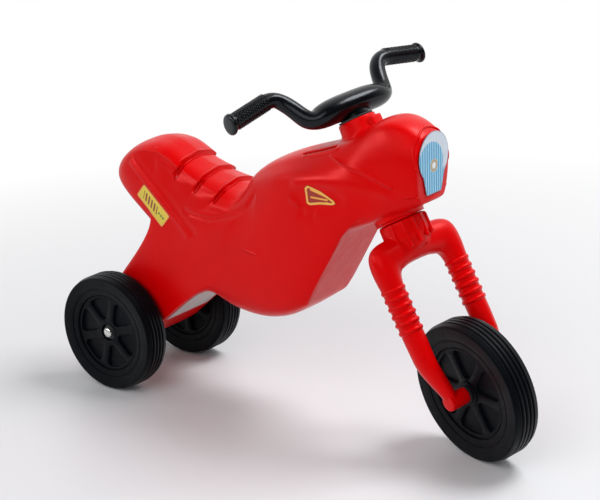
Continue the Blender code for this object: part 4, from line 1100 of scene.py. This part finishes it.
class TOY_OT_fork(bpy.types.Operator):
    """Makes the red fork with its crown, neck, ribs and axle bosses"""

    bl_idname = "toy.fork"
    bl_label = "Fork"

    def execute(self, context):
        settings = context.scene.toy_fork
        spread = settings.spread / MM
        red = red_plastic()
        cage = skinned("fork_cage", fork_rings(settings), closed=True, cap_end=True)
        skin = rounded(cage, 3, mirrored=True)
        neck = soft_profile([(0, -3.1), (31, -3.1), (31.5, -24), (23, -44), (0, -44)], 1.5, keep=(1,))
        pieces = [skin, turned("neck", neck)]
        pieces += [arch_fillet(sign, spread - LEG_RADIUS, CROWN - 19.5, 15, 8) for _, sign in SIDES]
        stem = turned("fork_stem", metres([(0, 139.7), (12, 139.7), (12, -6), (0, -6)]))
        parts = [fused("fork", pieces, 1.5 * MM, 18), stem]
        boss_points = [(0, 48), (11, 48), (11, 19.2), (4.3, 19.2), (4.3, 39), (0, 39)]
        group = ribs_along_tree()
        for side, sign in SIDES:
            boss = turned("boss", soft_profile(boss_points, 1.6, keep=(3, 4)))
            boss.transform(Matrix.Translation((0, 0, -FORK_REACH)) @ OUTWARD[side])
            ribs = with_nodes(bpy.data.meshes.new("ribs"), group, {
                "Count": settings.ribs, "Pitch": settings.rib_pitch, "Leg Radius": RIB_CORE * MM,
                "Bead Radius": settings.rib_height, "Start": (0, sign * settings.spread, RIB_TOP * MM),
                "Material": red})
            parts += [boss, ribs]
        for angle, radius, reach in PEGS:
            peg = capsule("peg", radius, reach)
            peg.transform(turn(angle, "Z") @ at(30.4, 0, -(reach + 4.5)))
            parts.append(peg)
        finished("fork_skin", joined("fork_skin", parts), red, "steering", "fork", STEERED, 50)
        return {"FINISHED"}


# Handlebar: a canoe-shaped middle, two risers and knurled grips with end flanges, in mm as the fork
class BarSettings(bpy.types.PropertyGroup):
    half_width: length("Half width", "From the middle to a grip's end", 159)
    rise: length("Rise", "From the canoe up to the grips", 46)
    tube: length("Tube", "Radius of the tube", 11)
    knurl_rows: IntProperty(name="Knurl rows", description="Diamonds along a grip", default=17,
                            min=1, max=60)
    knurl_round: IntProperty(name="Knurl round", description="Diamonds round a grip", default=20,
                             min=3, max=60)


CANOE_LEVEL, CANOE_HALF_HEIGHT, CANOE_HALF_DEPTH, CANOE_HALF_LENGTH = 157.5, 17, 25, 63
BEND_SIDE, SWEEP, END_DROP, END_SWEEP, END_RADIUS = 86, 25, 13, 6, 14
SOCKET_FOOT, SOCKET_RADIUS = 140.1 * MM, 19 * MM


def grip_place(settings, side):
    """How high and how far forward the grip's middle is at a place along it."""
    share = (side - BEND_SIDE) / (settings.half_width / MM - BEND_SIDE)
    return CANOE_LEVEL + settings.rise / MM - END_DROP * share, -SWEEP - END_SWEEP * share


def bar_rings(settings):
    level, end, tube = CANOE_LEVEL, settings.half_width / MM, settings.tube / MM
    high, deep, half = CANOE_HALF_HEIGHT, CANOE_HALF_DEPTH, CANOE_HALF_LENGTH
    low, top, flange = level - high + tube, level + settings.rise / MM, end - 6
    rows = [
        (0, level, SIDEWAYS, high, deep),
        (30, level, SIDEWAYS, high, deep - 1),
        (52, low + 4, (1, 0.05), tube + 4, deep - 5, -2),
        (half + 1, low + 6, (0.8, 1), tube + 0.5, tube + 3, -8),
        (half + 7, (low + top) / 2, (0.5, 1), tube, tube, -SWEEP * 0.62),
        (BEND_SIDE - 7, top - 9, (0.7, 1), tube, tube, -SWEEP * 0.9),
        (BEND_SIDE + 4, top, SIDEWAYS, tube, tube, -SWEEP),
    ]
    for side, radius in (((BEND_SIDE + end) / 2, tube), (flange - 4, tube), (flange - 1, tube),
                         (flange, END_RADIUS), (end - 1.5, END_RADIUS), (end, END_RADIUS * 0.7)):
        up, forward = grip_place(settings, side)
        rows.append((side, up, SIDEWAYS, radius, radius, forward))
    return [section(*row) for row in rows]


def knurl_tree():
    """Covers a grip with small raised diamonds: rows along it, each row turned by half a diamond."""
    floats = dict.fromkeys(("Length", "Radius", "Size", "Height"), "Float")
    group, given = new_group("knurl", {"Rows": "Int", "Round": "Int", **floats})
    total = add(group, "Math", [given["Rows"], given["Round"]], operation="MULTIPLY")
    points = add(group, "GeometryNodePoints", {"Count": total})
    index = add(group, "GeometryNodeInputIndex")
    row = add(group, "Math", [index, given["Round"]], operation="DIVIDE")
    row = add(group, "Math", [row], operation="FLOOR")
    before = add(group, "Math", [row, given["Round"]], operation="MULTIPLY")
    place = add(group, "Math", [index, before], operation="SUBTRACT")
    odd = add(group, "Math", [row, 2.0], operation="MODULO")
    place = add(group, "Math", [odd, 0.5, place], operation="MULTIPLY_ADD")
    share = add(group, "Math", [place, given["Round"]], operation="DIVIDE")
    angle = add(group, "Math", [share, 2 * math.pi], operation="MULTIPLY")
    height = add(group, "Math", [row, given["Rows"]], operation="DIVIDE")
    height = add(group, "Math", [height, given["Length"]], operation="MULTIPLY")
    flat = []
    for operation in ("COSINE", "SINE"):
        way = add(group, "Math", [angle], operation=operation)
        flat.append(add(group, "Math", [way, given["Radius"]], operation="MULTIPLY"))
    spot = add(group, "CombineXYZ", [*flat, height])
    placed = add(group, "GeometryNodeSetPosition", {"Geometry": points, "Position": spot})
    tip = add(group, "Math", [given["Size"], 0.35], operation="MULTIPLY")
    diamond = add(group, "GeometryNodeMeshCone", {"Vertices": 4, "Radius Top": tip, "Depth": given["Height"],
                                                  "Radius Bottom": given["Size"]})
    around = add(group, "CombineXYZ", {"Y": math.pi / 2, "Z": angle})
    copies = add(group, "GeometryNodeInstanceOnPoints", {"Points": placed, "Instance": diamond,
                                                         "Rotation": around})
    return end_group(group, given, [copies])


def socket_wall(height):
    share = (height - SOCKET_FOOT) / (CANOE_LEVEL * MM - SOCKET_FOOT)
    return SOCKET_RADIUS - 1 * MM * min(1.0, max(0.0, share))


class TOY_OT_handlebar(bpy.types.Operator):
    """Makes the black handlebar with its socket, risers and knurled grips"""

    bl_idname = "toy.handlebar"
    bl_label = "Handlebar"

    def execute(self, context):
        settings = context.scene.toy_bar
        black = bar_plastic()
        cage = skinned("bar_cage", bar_rings(settings), closed=True, cap_end=True)
        skin = rounded(cage, 3, mirrored=True)
        socket = grown_stub("socket", tree_of(skin), socket_wall, SOCKET_FOOT, 14 * MM, 4 * MM,
                            (20 * MM, CANOE_LEVEL * MM), passes=6)
        parts = [skin, socket]
        group = knurl_tree()
        for _, sign in SIDES:
            ends = []
            for side in (BEND_SIDE + 13, settings.half_width / MM - 9):
                up, forward = grip_place(settings, side)
                ends.append(Vector((forward * MM, sign * side * MM, up * MM)))
            along = ends[1] - ends[0]
            knurl = with_nodes(bpy.data.meshes.new("knurl"), group, {
                "Rows": settings.knurl_rows, "Round": settings.knurl_round, "Length": along.length,
                "Radius": settings.tube - 0.2 * MM, "Size": 1.7 * MM, "Height": 1.0 * MM, "Material": black})
            knurl.transform(Matrix.Translation(ends[0]) @ along.to_track_quat("Z", "X").to_matrix().to_4x4())
            parts.append(knurl)
        finished("handlebar_skin", joined("handlebar_skin", parts), black, "steering", "handlebar",
                 STEERED, 50)
        return {"FINISHED"}


class TOY_OT_steering_rings(bpy.types.Operator):
    """Makes the red ring under the head and the collar on top of the tower"""

    bl_idname = "toy.steering_rings"
    bl_label = "Steering rings"

    def execute(self, context):
        low, high = (turned("ring", flange_profile(12.3, 15.3, rim, 2.5, 16)) for rim in (33, 23))
        finished("neck_ring", low, red_plastic(), "frame", "steering_lower_bush",
                 RAKED @ at(0, 0, -GAP) @ turn(180, "X"))
        finished("tower_collar", high, nylon(), "frame", "steering_upper_bush",
                 RAKED @ at(0, 0, 137.3))
        return {"FINISHED"}


# Stickers: sheets laid on the finished skin, with their own plain motifs, in mm
class StickerSettings(bpy.types.PropertyGroup):
    thickness: length("Thickness", "Thickness of the vinyl", 0.25)
    flute: FloatProperty(name="Flute", description="Width in mm of a flute on the lens", default=5.0, min=1)


SHEET_SPAN = 200.0
PLATE_SIZE, LABEL_SIZE, SHEET_CORNER = (62, 24), (90, 84), 3
BADGE_CORNERS = [(-23, 9), (-17, 14), (3, 7.5), (21, -2), (24, -6.5), (19, -9), (0, -10.5), (-16, -14),
                 (-21, -11.5)]
LENS_RADIUS, LENS_HEIGHT, LENS_HALF_TAB = 32.5, 80, 17
LEG_SLOPE, PLATE_TILT = math.radians(38.4), -40


def rounded_rectangle(size, radius):
    x, y = size[0] / 2 - radius, size[1] / 2 - radius
    outline = []
    for centre, start in (((x, y), 0), ((-x, y), 90), ((-x, -y), 180), ((x, -y), 270)):
        outline += arc(centre, radius, start, start + 90, 6)
    return outline


def rounded_outline(points, radius):
    result = []
    for i, point in enumerate(points):
        result += soft_corner(point, points[i - 1], points[(i + 1) % len(points)], radius, 5)
    return result


def lens_outline():
    """A round glass with a tab at its foot."""
    reach = math.degrees(math.asin(LENS_HALF_TAB / LENS_RADIUS)) + 14
    foot = SHEET_CORNER - LENS_HEIGHT / 2
    side = LENS_HALF_TAB - SHEET_CORNER
    lamp = arc((0, LENS_HEIGHT / 2 - LENS_RADIUS), LENS_RADIUS, -90 + reach, 270 - reach, 40)
    tab = arc((-side, foot), SHEET_CORNER, 180, 270, 5) + arc((side, foot), SHEET_CORNER, 270, 360, 5)
    return lamp + tab


def edges_of(outline):
    return zip(outline, outline[1:] + outline[:1])


def filled_in(outline, spacing):
    """The outline with points added so that none lie further apart than the spacing."""
    result = []
    for (x0, y0), (x1, y1) in edges_of(outline):
        count = max(1, math.ceil(math.hypot(x1 - x0, y1 - y0) / spacing))
        result += [(x0 + (x1 - x0) * i / count, y0 + (y1 - y0) * i / count) for i in range(count)]
    return result


def rim_distance(points, outline):
    best = np.full(len(points), 1e9)
    spots = np.array(points)
    for (x0, y0), (x1, y1) in edges_of(outline):
        along = np.array([x1 - x0, y1 - y0])
        square = max(1e-12, float(along @ along))
        t = np.clip(((spots - (x0, y0)) @ along) / square, 0, 1)
        best = np.minimum(best, np.hypot(spots[:, 0] - x0 - t * along[0], spots[:, 1] - y0 - t * along[1]))
    return best


def sheet_on(name, outline, matrix, skin, thickness, flip=1, flat=False):
    """A sheet laid along -Z of its matrix on the skin, or left flat. flip is -1 to mirror its print."""
    outline = filled_in(outline, 1.6)
    if sum(x0 * y1 - x1 * y0 for (x0, y0), (x1, y1) in edges_of(outline)) < 0:
        outline = outline[::-1]
    shares = [1, 0.97, 0.92] + [0.92 * (1 - i / 14) for i in range(1, 14)]
    spots = [(x * share, y * share) for share in shares for x, y in outline]
    toward = -(matrix.to_3x3() @ Vector((0, 0, 1)))
    points = []
    for x, y in spots:
        point = matrix @ Vector((x * MM, y * MM, 0))
        if not flat:
            hit, normal, _, _ = skin.ray_cast(point, toward)
            if hit is None:
                raise RuntimeError(f"{name} misses the body")
            point = hit + normal * 0.15 * MM
        points.append(point)
    count = len(outline)
    faces = []
    for i in range(len(shares) - 1):
        for j in range(count):
            k = (j + 1) % count
            faces.append((i * count + j, i * count + k, (i + 1) * count + k, (i + 1) * count + j))
    faces.append(tuple(range(len(spots) - count, len(spots))))
    mesh = mesh_from(name, points, faces)
    layer = mesh.uv_layers.new(name="sheet")
    for loop in mesh.loops:
        x, y = spots[loop.vertex_index]
        layer.data[loop.index].uv = (x / SHEET_SPAN + 0.5, flip * y / SHEET_SPAN + 0.5)
    rim = mesh.attributes.new("rim", "FLOAT", "POINT")
    rim.data.foreach_set("value", rim_distance(spots, outline).astype(np.float32))
    item = add_object(name, mesh)
    solid = item.modifiers.new("thickness", "SOLIDIFY")
    solid.thickness = thickness
    solid.offset = 1
    return baked(item)


def sheet_coordinates(tree):
    """Millimetres across and along a sticker, from its own UV map, and the distance to its rim."""
    split = add(tree, "SeparateXYZ", [add(tree, "UVMap", uv_map="sheet")]).node.outputs
    across, along = (add(tree, "Math", [split[i], SHEET_SPAN, -SHEET_SPAN / 2], operation="MULTIPLY_ADD")
                     for i in range(2))
    return across, along, add(tree, "Attribute", out="Fac", attribute_name="rim")


def between(tree, value, low, high, soft=0.3):
    """1 inside a band and 0 outside, with soft edges."""
    rise = add(tree, "MapRange", [value, low - soft, low + soft, 0.0, 1.0])
    fall = add(tree, "MapRange", [value, high - soft, high + soft, 1.0, 0.0])
    return add(tree, "Math", [rise, fall], operation="MULTIPLY")


def vinyl(surface, place, roughness, colour):
    """Printed vinyl: flat ink under a smooth clear film, with a faint ripple from the skin under it."""
    tree = surface.node_tree
    lumps = add(tree, "TexNoise", {"Vector": place, "Scale": 1 / (4 * MM), "Detail": 1.0, "Roughness": 0.5})
    ripple = add(tree, "Bump", {"Height": lumps, "Strength": 0.1, "Distance": 0.1 * MM})
    return shaded(surface, {"Base Color": colour, "Roughness": roughness, "IOR": 1.5, "Normal": ripple})


def tail_plate_print():
    """Yellow printed vinyl with an orange rim, a row of leaning bars and three dots, and a thin line of
    painted shade at its very edge.
    """
    surface, tree, place = new_surface("yellow_printed_vinyl")
    across, along, rim = sheet_coordinates(tree)
    lean = add(tree, "Math", [along, 0.45, across], operation="MULTIPLY_ADD")
    bars = between(tree, add(tree, "Math", [lean, 3.2], operation="PINGPONG"), 1.5, 9.0)
    for value, low, high in ((lean, -22.0, 10.0), (along, -5.5, 5.5)):
        bars = add(tree, "Math", [bars, between(tree, value, low, high)], operation="MULTIPLY")
    inks = [(add(tree, "MapRange", [along, -8.0, 8.0, 0.0, 1.0]), "E4C948"), (bars, "8E3A1C")]
    spot = add(tree, "CombineXYZ", [across, along])
    for centre in (14.5, 19.5, 24.0):
        away = add(tree, "VectorMath", [spot, (centre, 0, 0)], "Value", operation="DISTANCE")
        away = add(tree, "Math", [away, 2.0], operation="POWER")
        inks.append(((away, 2.6, 4.2), "6E7A34"))
    # The thin dark line at the very edge is painted shade, the shadow of the gap round the plate
    inks += [((rim, 2.3, 2.9), "F2A84A"), ((rim, 0.35, 0.7), "8A1A08")]
    return vinyl(surface, place, 0.3, layered(tree, "D9C33C", inks))


def tank_badge_print():
    """Red vinyl in a gold rim, with three gold strokes that run together towards the front."""
    surface, tree, place = new_surface("gold_and_red_printed_vinyl")
    across, along, rim = sheet_coordinates(tree)
    strokes = 0.0
    for level, slope in ((4.2, -0.28), (-2.6, -0.02), (-9.0, 0.2)):
        line = add(tree, "Math", [across, slope, level], operation="MULTIPLY_ADD")
        line = add(tree, "Math", [along, line], operation="SUBTRACT")
        line = add(tree, "Math", [line], operation="ABSOLUTE")
        stroke = add(tree, "MapRange", [line, 0.9, 1.4, 1.0, 0.0])
        strokes = add(tree, "Math", [strokes, stroke], operation="MAXIMUM")
    strokes = add(tree, "Math", [strokes, between(tree, across, -14.0, 12.0)], operation="MULTIPLY")
    inks = [(strokes, "F0A73E"), (between(tree, rim, 0.5, 3.3), "F3B44C"), ((rim, 0.3, 0.6), "8A2A10")]
    return vinyl(surface, place, 0.3, layered(tree, "9C1A06", inks))


def lens_print():
    """Light blue vinyl printed as a lamp glass: upright flutes, and plain rings round the bulb."""
    surface, tree, place = new_surface("blue_printed_vinyl")
    across, along, rim = sheet_coordinates(tree)
    flute = bpy.context.scene.toy_stickers.flute
    waves = add(tree, "Math", [across, SHEET_SPAN / 2], operation="ADD")
    waves = add(tree, "Math", [waves, flute / 2], operation="PINGPONG")
    spot = add(tree, "CombineXYZ", [across, along])
    from_left, from_bulb = (add(tree, "VectorMath", [spot, middle], "Value", operation="DISTANCE")
                            for middle in ((-7, 0, 0), (0, -4, 0)))
    pale = add(tree, "Math", [add(tree, "MapRange", [from_left, 26.5, 28.5, 0.0, 0.9]),
                              add(tree, "MapRange", [along, -14.0, -8.0, 0.0, 1.0])], operation="MULTIPLY")
    inks = [
        (add(tree, "MapRange", [waves, 0.2 * flute, 0.4 * flute, 0.0, 1.0]), "A3D5EA"),
        (pale, "D8DEE8"),
        ((from_bulb, 8.2, 8.8), "B8BCC0"),
        (between(tree, from_bulb, 5.2, 7.4), "B59A5E"),
        ((from_bulb, 3.4, 4.0), "E9EAEA"),
        ((rim, 0.5, 1.0), "7B96A8"),
    ]
    return vinyl(surface, place, 0.26, layered(tree, "4E9ECB", inks))


def blank_label():
    """Pale uncoated vinyl, a little grubby, with nothing printed on it."""
    surface, tree, place = new_surface("pale_vinyl")
    clouds = add(tree, "TexNoise", {"Vector": place, "Scale": 1 / (12 * MM), "Detail": 4.0,
                                    "Roughness": 0.6})
    grubby = add(tree, "MapRange", [clouds, 0.3, 0.7, 0.0, 1.0])
    return vinyl(surface, place, 0.42, layered(tree, "D3CBC9", [(grubby, "C7BAB8")]))


def facing(normal):
    """The turn that lays a sheet's Z along the normal and its X across the toy."""
    across = Vector((0, 1, 0))
    return Matrix((across, normal.cross(across), normal)).transposed().to_4x4()


class TOY_OT_stickers(bpy.types.Operator):
    """Lays the lens, tail plates, tank badges and the blank label on the body"""

    bl_idname = "toy.stickers"
    bl_label = "Stickers"

    def execute(self, context):
        thickness = context.scene.toy_stickers.thickness
        plate, badge = tail_plate_print(), tank_badge_print()
        slope = Vector((math.sin(LEG_SLOPE), 0, -math.cos(LEG_SLOPE)))
        label_place = Matrix.Translation(Vector((98.5, 0, 44)) * MM + slope * 15 * MM)
        lens_place = at(496.1, 0, 303) @ facing(Vector((1, 0, 0)))
        plate_outline = rounded_rectangle(PLATE_SIZE, SHEET_CORNER)
        label_outline = rounded_rectangle(LABEL_SIZE, SHEET_CORNER)
        sheets = []
        for side, sign in SIDES:
            beside, tilt = sign * 75, turn(-sign * PLATE_TILT, "Z")
            corners = rounded_outline([(x, -sign * y) for x, y in BADGE_CORNERS], 1.6)
            sheets += [
                (f"tail_plate_{side}_vinyl", f"tail_plate_{side}", plate_outline,
                 at(60, beside, 188) @ OUTWARD[side] @ tilt, plate, "yellow_sticker", 1),
                (f"tank_badge_{side}_vinyl", f"tank_badge_{side}", corners,
                 at(358, beside, 250) @ OUTWARD[side], badge, "yellow_sticker", -sign),
            ]
        sheets += [
            ("headlight_vinyl", "headlight_sticker", lens_outline(), lens_place, lens_print(),
             "blue_sticker", 1),
            ("leg_label_vinyl", "leg_label", label_outline, label_place @ facing(slope), blank_label(),
             "pale_sticker", 1),
        ]
        skin = tree_of(bpy.data.objects["body_skin"].data)
        for name, node, outline, place, surface, slot, flip in sheets:
            flat = slot == "blue_sticker"
            mesh = sheet_on(node, outline, AXLE @ place, skin, 0.6 * MM if flat else thickness, flip, flat)
            finished(name, mesh, surface, "frame", node)
        return {"FINISHED"}


class TOY_OT_hidden_hardware(bpy.types.Operator):
    """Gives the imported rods, bolt, nut and washers their finish"""

    bl_idname = "toy.hidden_hardware"
    bl_label = "Hidden hardware"

    def execute(self, context):
        metal = steel()
        bolt = ("steering_bolt", "steering_bolt_washer", "steering_nut", "steering_nut_washer")
        for name in ("rear_axle", "front_axle", *bolt):
            node = frame["nodes"][name]
            node.data.materials.clear()
            node.data.materials.append(metal)
        return {"FINISHED"}


# Stage: pale floor, soft lamps, and the camera where the photograph was taken from
class StageSettings(bpy.types.PropertyGroup):
    lens: FloatProperty(name="Lens", description="Focal length", default=101.45, min=10)
    floor_colour: FloatVectorProperty(name="Floor", description="Colour of the floor", subtype="COLOR",
                                      size=3, default=(0.76, 0.765, 0.79))
    key_power: FloatProperty(name="Key", description="Power of the lamp behind and above", default=50.0,
                             unit="POWER")
    fill_power: FloatProperty(name="Fill", description="Power of the broad lamp in front", default=34.0,
                              unit="POWER")
    card_power: FloatProperty(name="Card", description="Power of the card that only the sheen shows",
                              default=20.0, unit="POWER")
    sky: FloatProperty(name="Sky", description="Strength of the light from all round", default=0.40)
    dark_side: FloatProperty(name="Dark side", description="What the room behind the camera reflects",
                             default=0.05)


CAMERA_PLACE = Vector((1.3364, -1.7040, 0.9630))
CAMERA_AZIMUTH, CAMERA_HEIGHT, CAMERA_ROLL = (math.radians(value) for value in (38.36, 18.66, -1.93))
AWAY_FROM_CAMERA = (-0.62, 0.78, 0.0)
FLOOR_HALF, FADE_START, FADE_END = 6, 0.45, 1.35


def area_lamp(name, place, target, size, power):
    lamp = bpy.data.lights.new(name, "AREA")
    lamp.shape = "RECTANGLE"
    lamp.size, lamp.size_y = size
    lamp.energy = power
    item = add_object(name, lamp)
    way = (Vector(target) - Vector(place)).to_track_quat("-Z", "Y")
    item.matrix_world = Matrix.Translation(place) @ way.to_matrix().to_4x4()
    return item


def seen_by_eye(tree):
    """1 for what the camera and reflections see, 0 for the light itself, and the rays' own outputs."""
    path = add(tree, "LightPath").node.outputs
    return add(tree, "Math", [path["Is Camera Ray"], path["Is Glossy Ray"]], operation="MAXIMUM"), path


def studio_world(sky, dark_side):
    """White behind the toy and dim behind the camera, as in a studio sweep."""
    world = bpy.data.worlds.new("studio")
    world.use_nodes = True
    tree = world.node_tree
    tree.nodes.clear()
    seen, path = seen_by_eye(tree)
    seen = add(tree, "Math", [seen, path["Is Transmission Ray"]], operation="MAXIMUM")
    way = add(tree, "TexCoord", out="Generated")
    away = add(tree, "VectorMath", [way, AWAY_FROM_CAMERA], "Value", operation="DOT_PRODUCT")
    sweep = add(tree, "MapRange", [away, -0.25, 0.35, dark_side, 1.0])
    light, backdrop = (add(tree, "Background", ["FFFFFF", strength]) for strength in (sky, sweep))
    add(tree, "OutputWorld", [add(tree, "MixShader", [seen, light, backdrop])])
    bpy.context.scene.world = world


def floor_surface(colour):
    """Matt painted board that fades to plain white away from the toy, and keeps its shadow."""
    surface, tree, place = new_surface("pale_floor")
    shader = add(tree, "BsdfPrincipled", {"Base Color": (*colour, 1.0), "Roughness": 0.45, "IOR": 1.45})
    far = add(tree, "VectorMath", [place], "Value", operation="LENGTH")
    fade = add(tree, "MapRange", [far, FADE_START, FADE_END, 0.0, 1.0])
    fade = add(tree, "Math", [seen_by_eye(tree)[0], fade], operation="MULTIPLY")
    glow = add(tree, "Emission", ["FFFFFF", 1.0])
    add(tree, "OutputMaterial", [add(tree, "MixShader", [fade, shader, glow])])
    return surface


class TOY_OT_stage(bpy.types.Operator):
    """Makes the floor, lamps, surroundings and camera"""

    bl_idname = "toy.stage"
    bl_label = "Stage"

    def execute(self, context):
        scene, settings = context.scene, context.scene.toy_stage
        scene.view_settings.view_transform = "Standard"
        corners = [(x * FLOOR_HALF, y * FLOOR_HALF, 0) for x, y in ((-1, -1), (1, -1), (1, 1), (-1, 1))]
        floor = add_object("floor", mesh_from("floor", corners, [(0, 1, 2, 3)]))
        floor.data.materials.append(floor_surface(settings.floor_colour))
        studio_world(settings.sky, settings.dark_side)
        area_lamp("key_lamp", (0.9, 0.9, 2.5), (0.0, 0.0, 0.2), (1.2, 1.0), settings.key_power)
        card = area_lamp("reflection_card", (-1.4, -1.8, 1.2), (0.15, 0.0, 0.35), (0.9, 0.4),
                         settings.card_power)
        card.visible_diffuse = False
        area_lamp("fill_lamp", (0.3, -2.4, 1.9), (0.0, 0.0, 0.2), (2.4, 1.8), settings.fill_power)
        self.place_camera(scene, settings.lens)
        return {"FINISHED"}

    def place_camera(self, scene, lens):
        camera = bpy.data.cameras.new("camera")
        camera.lens = lens
        camera.sensor_width = 36
        item = add_object("camera", camera)
        across, away, level = math.sin(CAMERA_AZIMUTH), math.cos(CAMERA_AZIMUTH), math.cos(CAMERA_HEIGHT)
        back = Vector((across * level, -away * level, math.sin(CAMERA_HEIGHT)))
        right = Vector((away, across, 0))
        up = back.cross(right)
        tilted = right * math.cos(CAMERA_ROLL) + up * math.sin(CAMERA_ROLL)
        upright = up * math.cos(CAMERA_ROLL) - right * math.sin(CAMERA_ROLL)
        look = Matrix((tilted, upright, back)).transposed().to_4x4()
        item.matrix_world = Matrix.Translation(CAMERA_PLACE) @ look
        scene.camera = item


class TOY_PT_panel(bpy.types.Panel):
    """Buttons that build the toy"""

    bl_idname = "TOY_PT_panel"
    bl_label = "Ride-on motorcycle"
    bl_space_type = "VIEW_3D"
    bl_region_type = "UI"
    bl_category = "Ride-on"

    def draw(self, context):
        column = self.layout.column()
        for operator in OPERATORS:
            column.operator(operator.bl_idname)
        for name, _ in SETTINGS:
            group = getattr(context.scene, name)
            box = self.layout.box()
            for key in group.__annotations__:
                box.prop(group, key)


# The order in which main builds the toy
OPERATORS = [
    TOY_OT_body,
    TOY_OT_fork,
    TOY_OT_handlebar,
    TOY_OT_wheels,
    TOY_OT_axle_ends,
    TOY_OT_steering_rings,
    TOY_OT_stickers,
    TOY_OT_hidden_hardware,
    TOY_OT_stage,
]
SETTINGS = [
    ("toy_colours", ToyColours),
    ("toy_body", BodySettings),
    ("toy_wheels", WheelSettings),
    ("toy_fork", ForkSettings),
    ("toy_bar", BarSettings),
    ("toy_stickers", StickerSettings),
    ("toy_stage", StageSettings),
]


def register():
    for _, group in SETTINGS:
        bpy.utils.register_class(group)
    for name, group in SETTINGS:
        setattr(bpy.types.Scene, name, PointerProperty(type=group))
    for item in OPERATORS + [TOY_PT_panel]:
        bpy.utils.register_class(item)


def unregister():
    for item in reversed(OPERATORS + [TOY_PT_panel]):
        bpy.utils.unregister_class(item)
    for name, group in SETTINGS:
        delattr(bpy.types.Scene, name)
        bpy.utils.unregister_class(group)


def main():
    register()
    for operator in OPERATORS:
        getattr(bpy.ops.toy, operator.bl_idname.split(".")[1])()


if __name__ == "__main__":
    main()
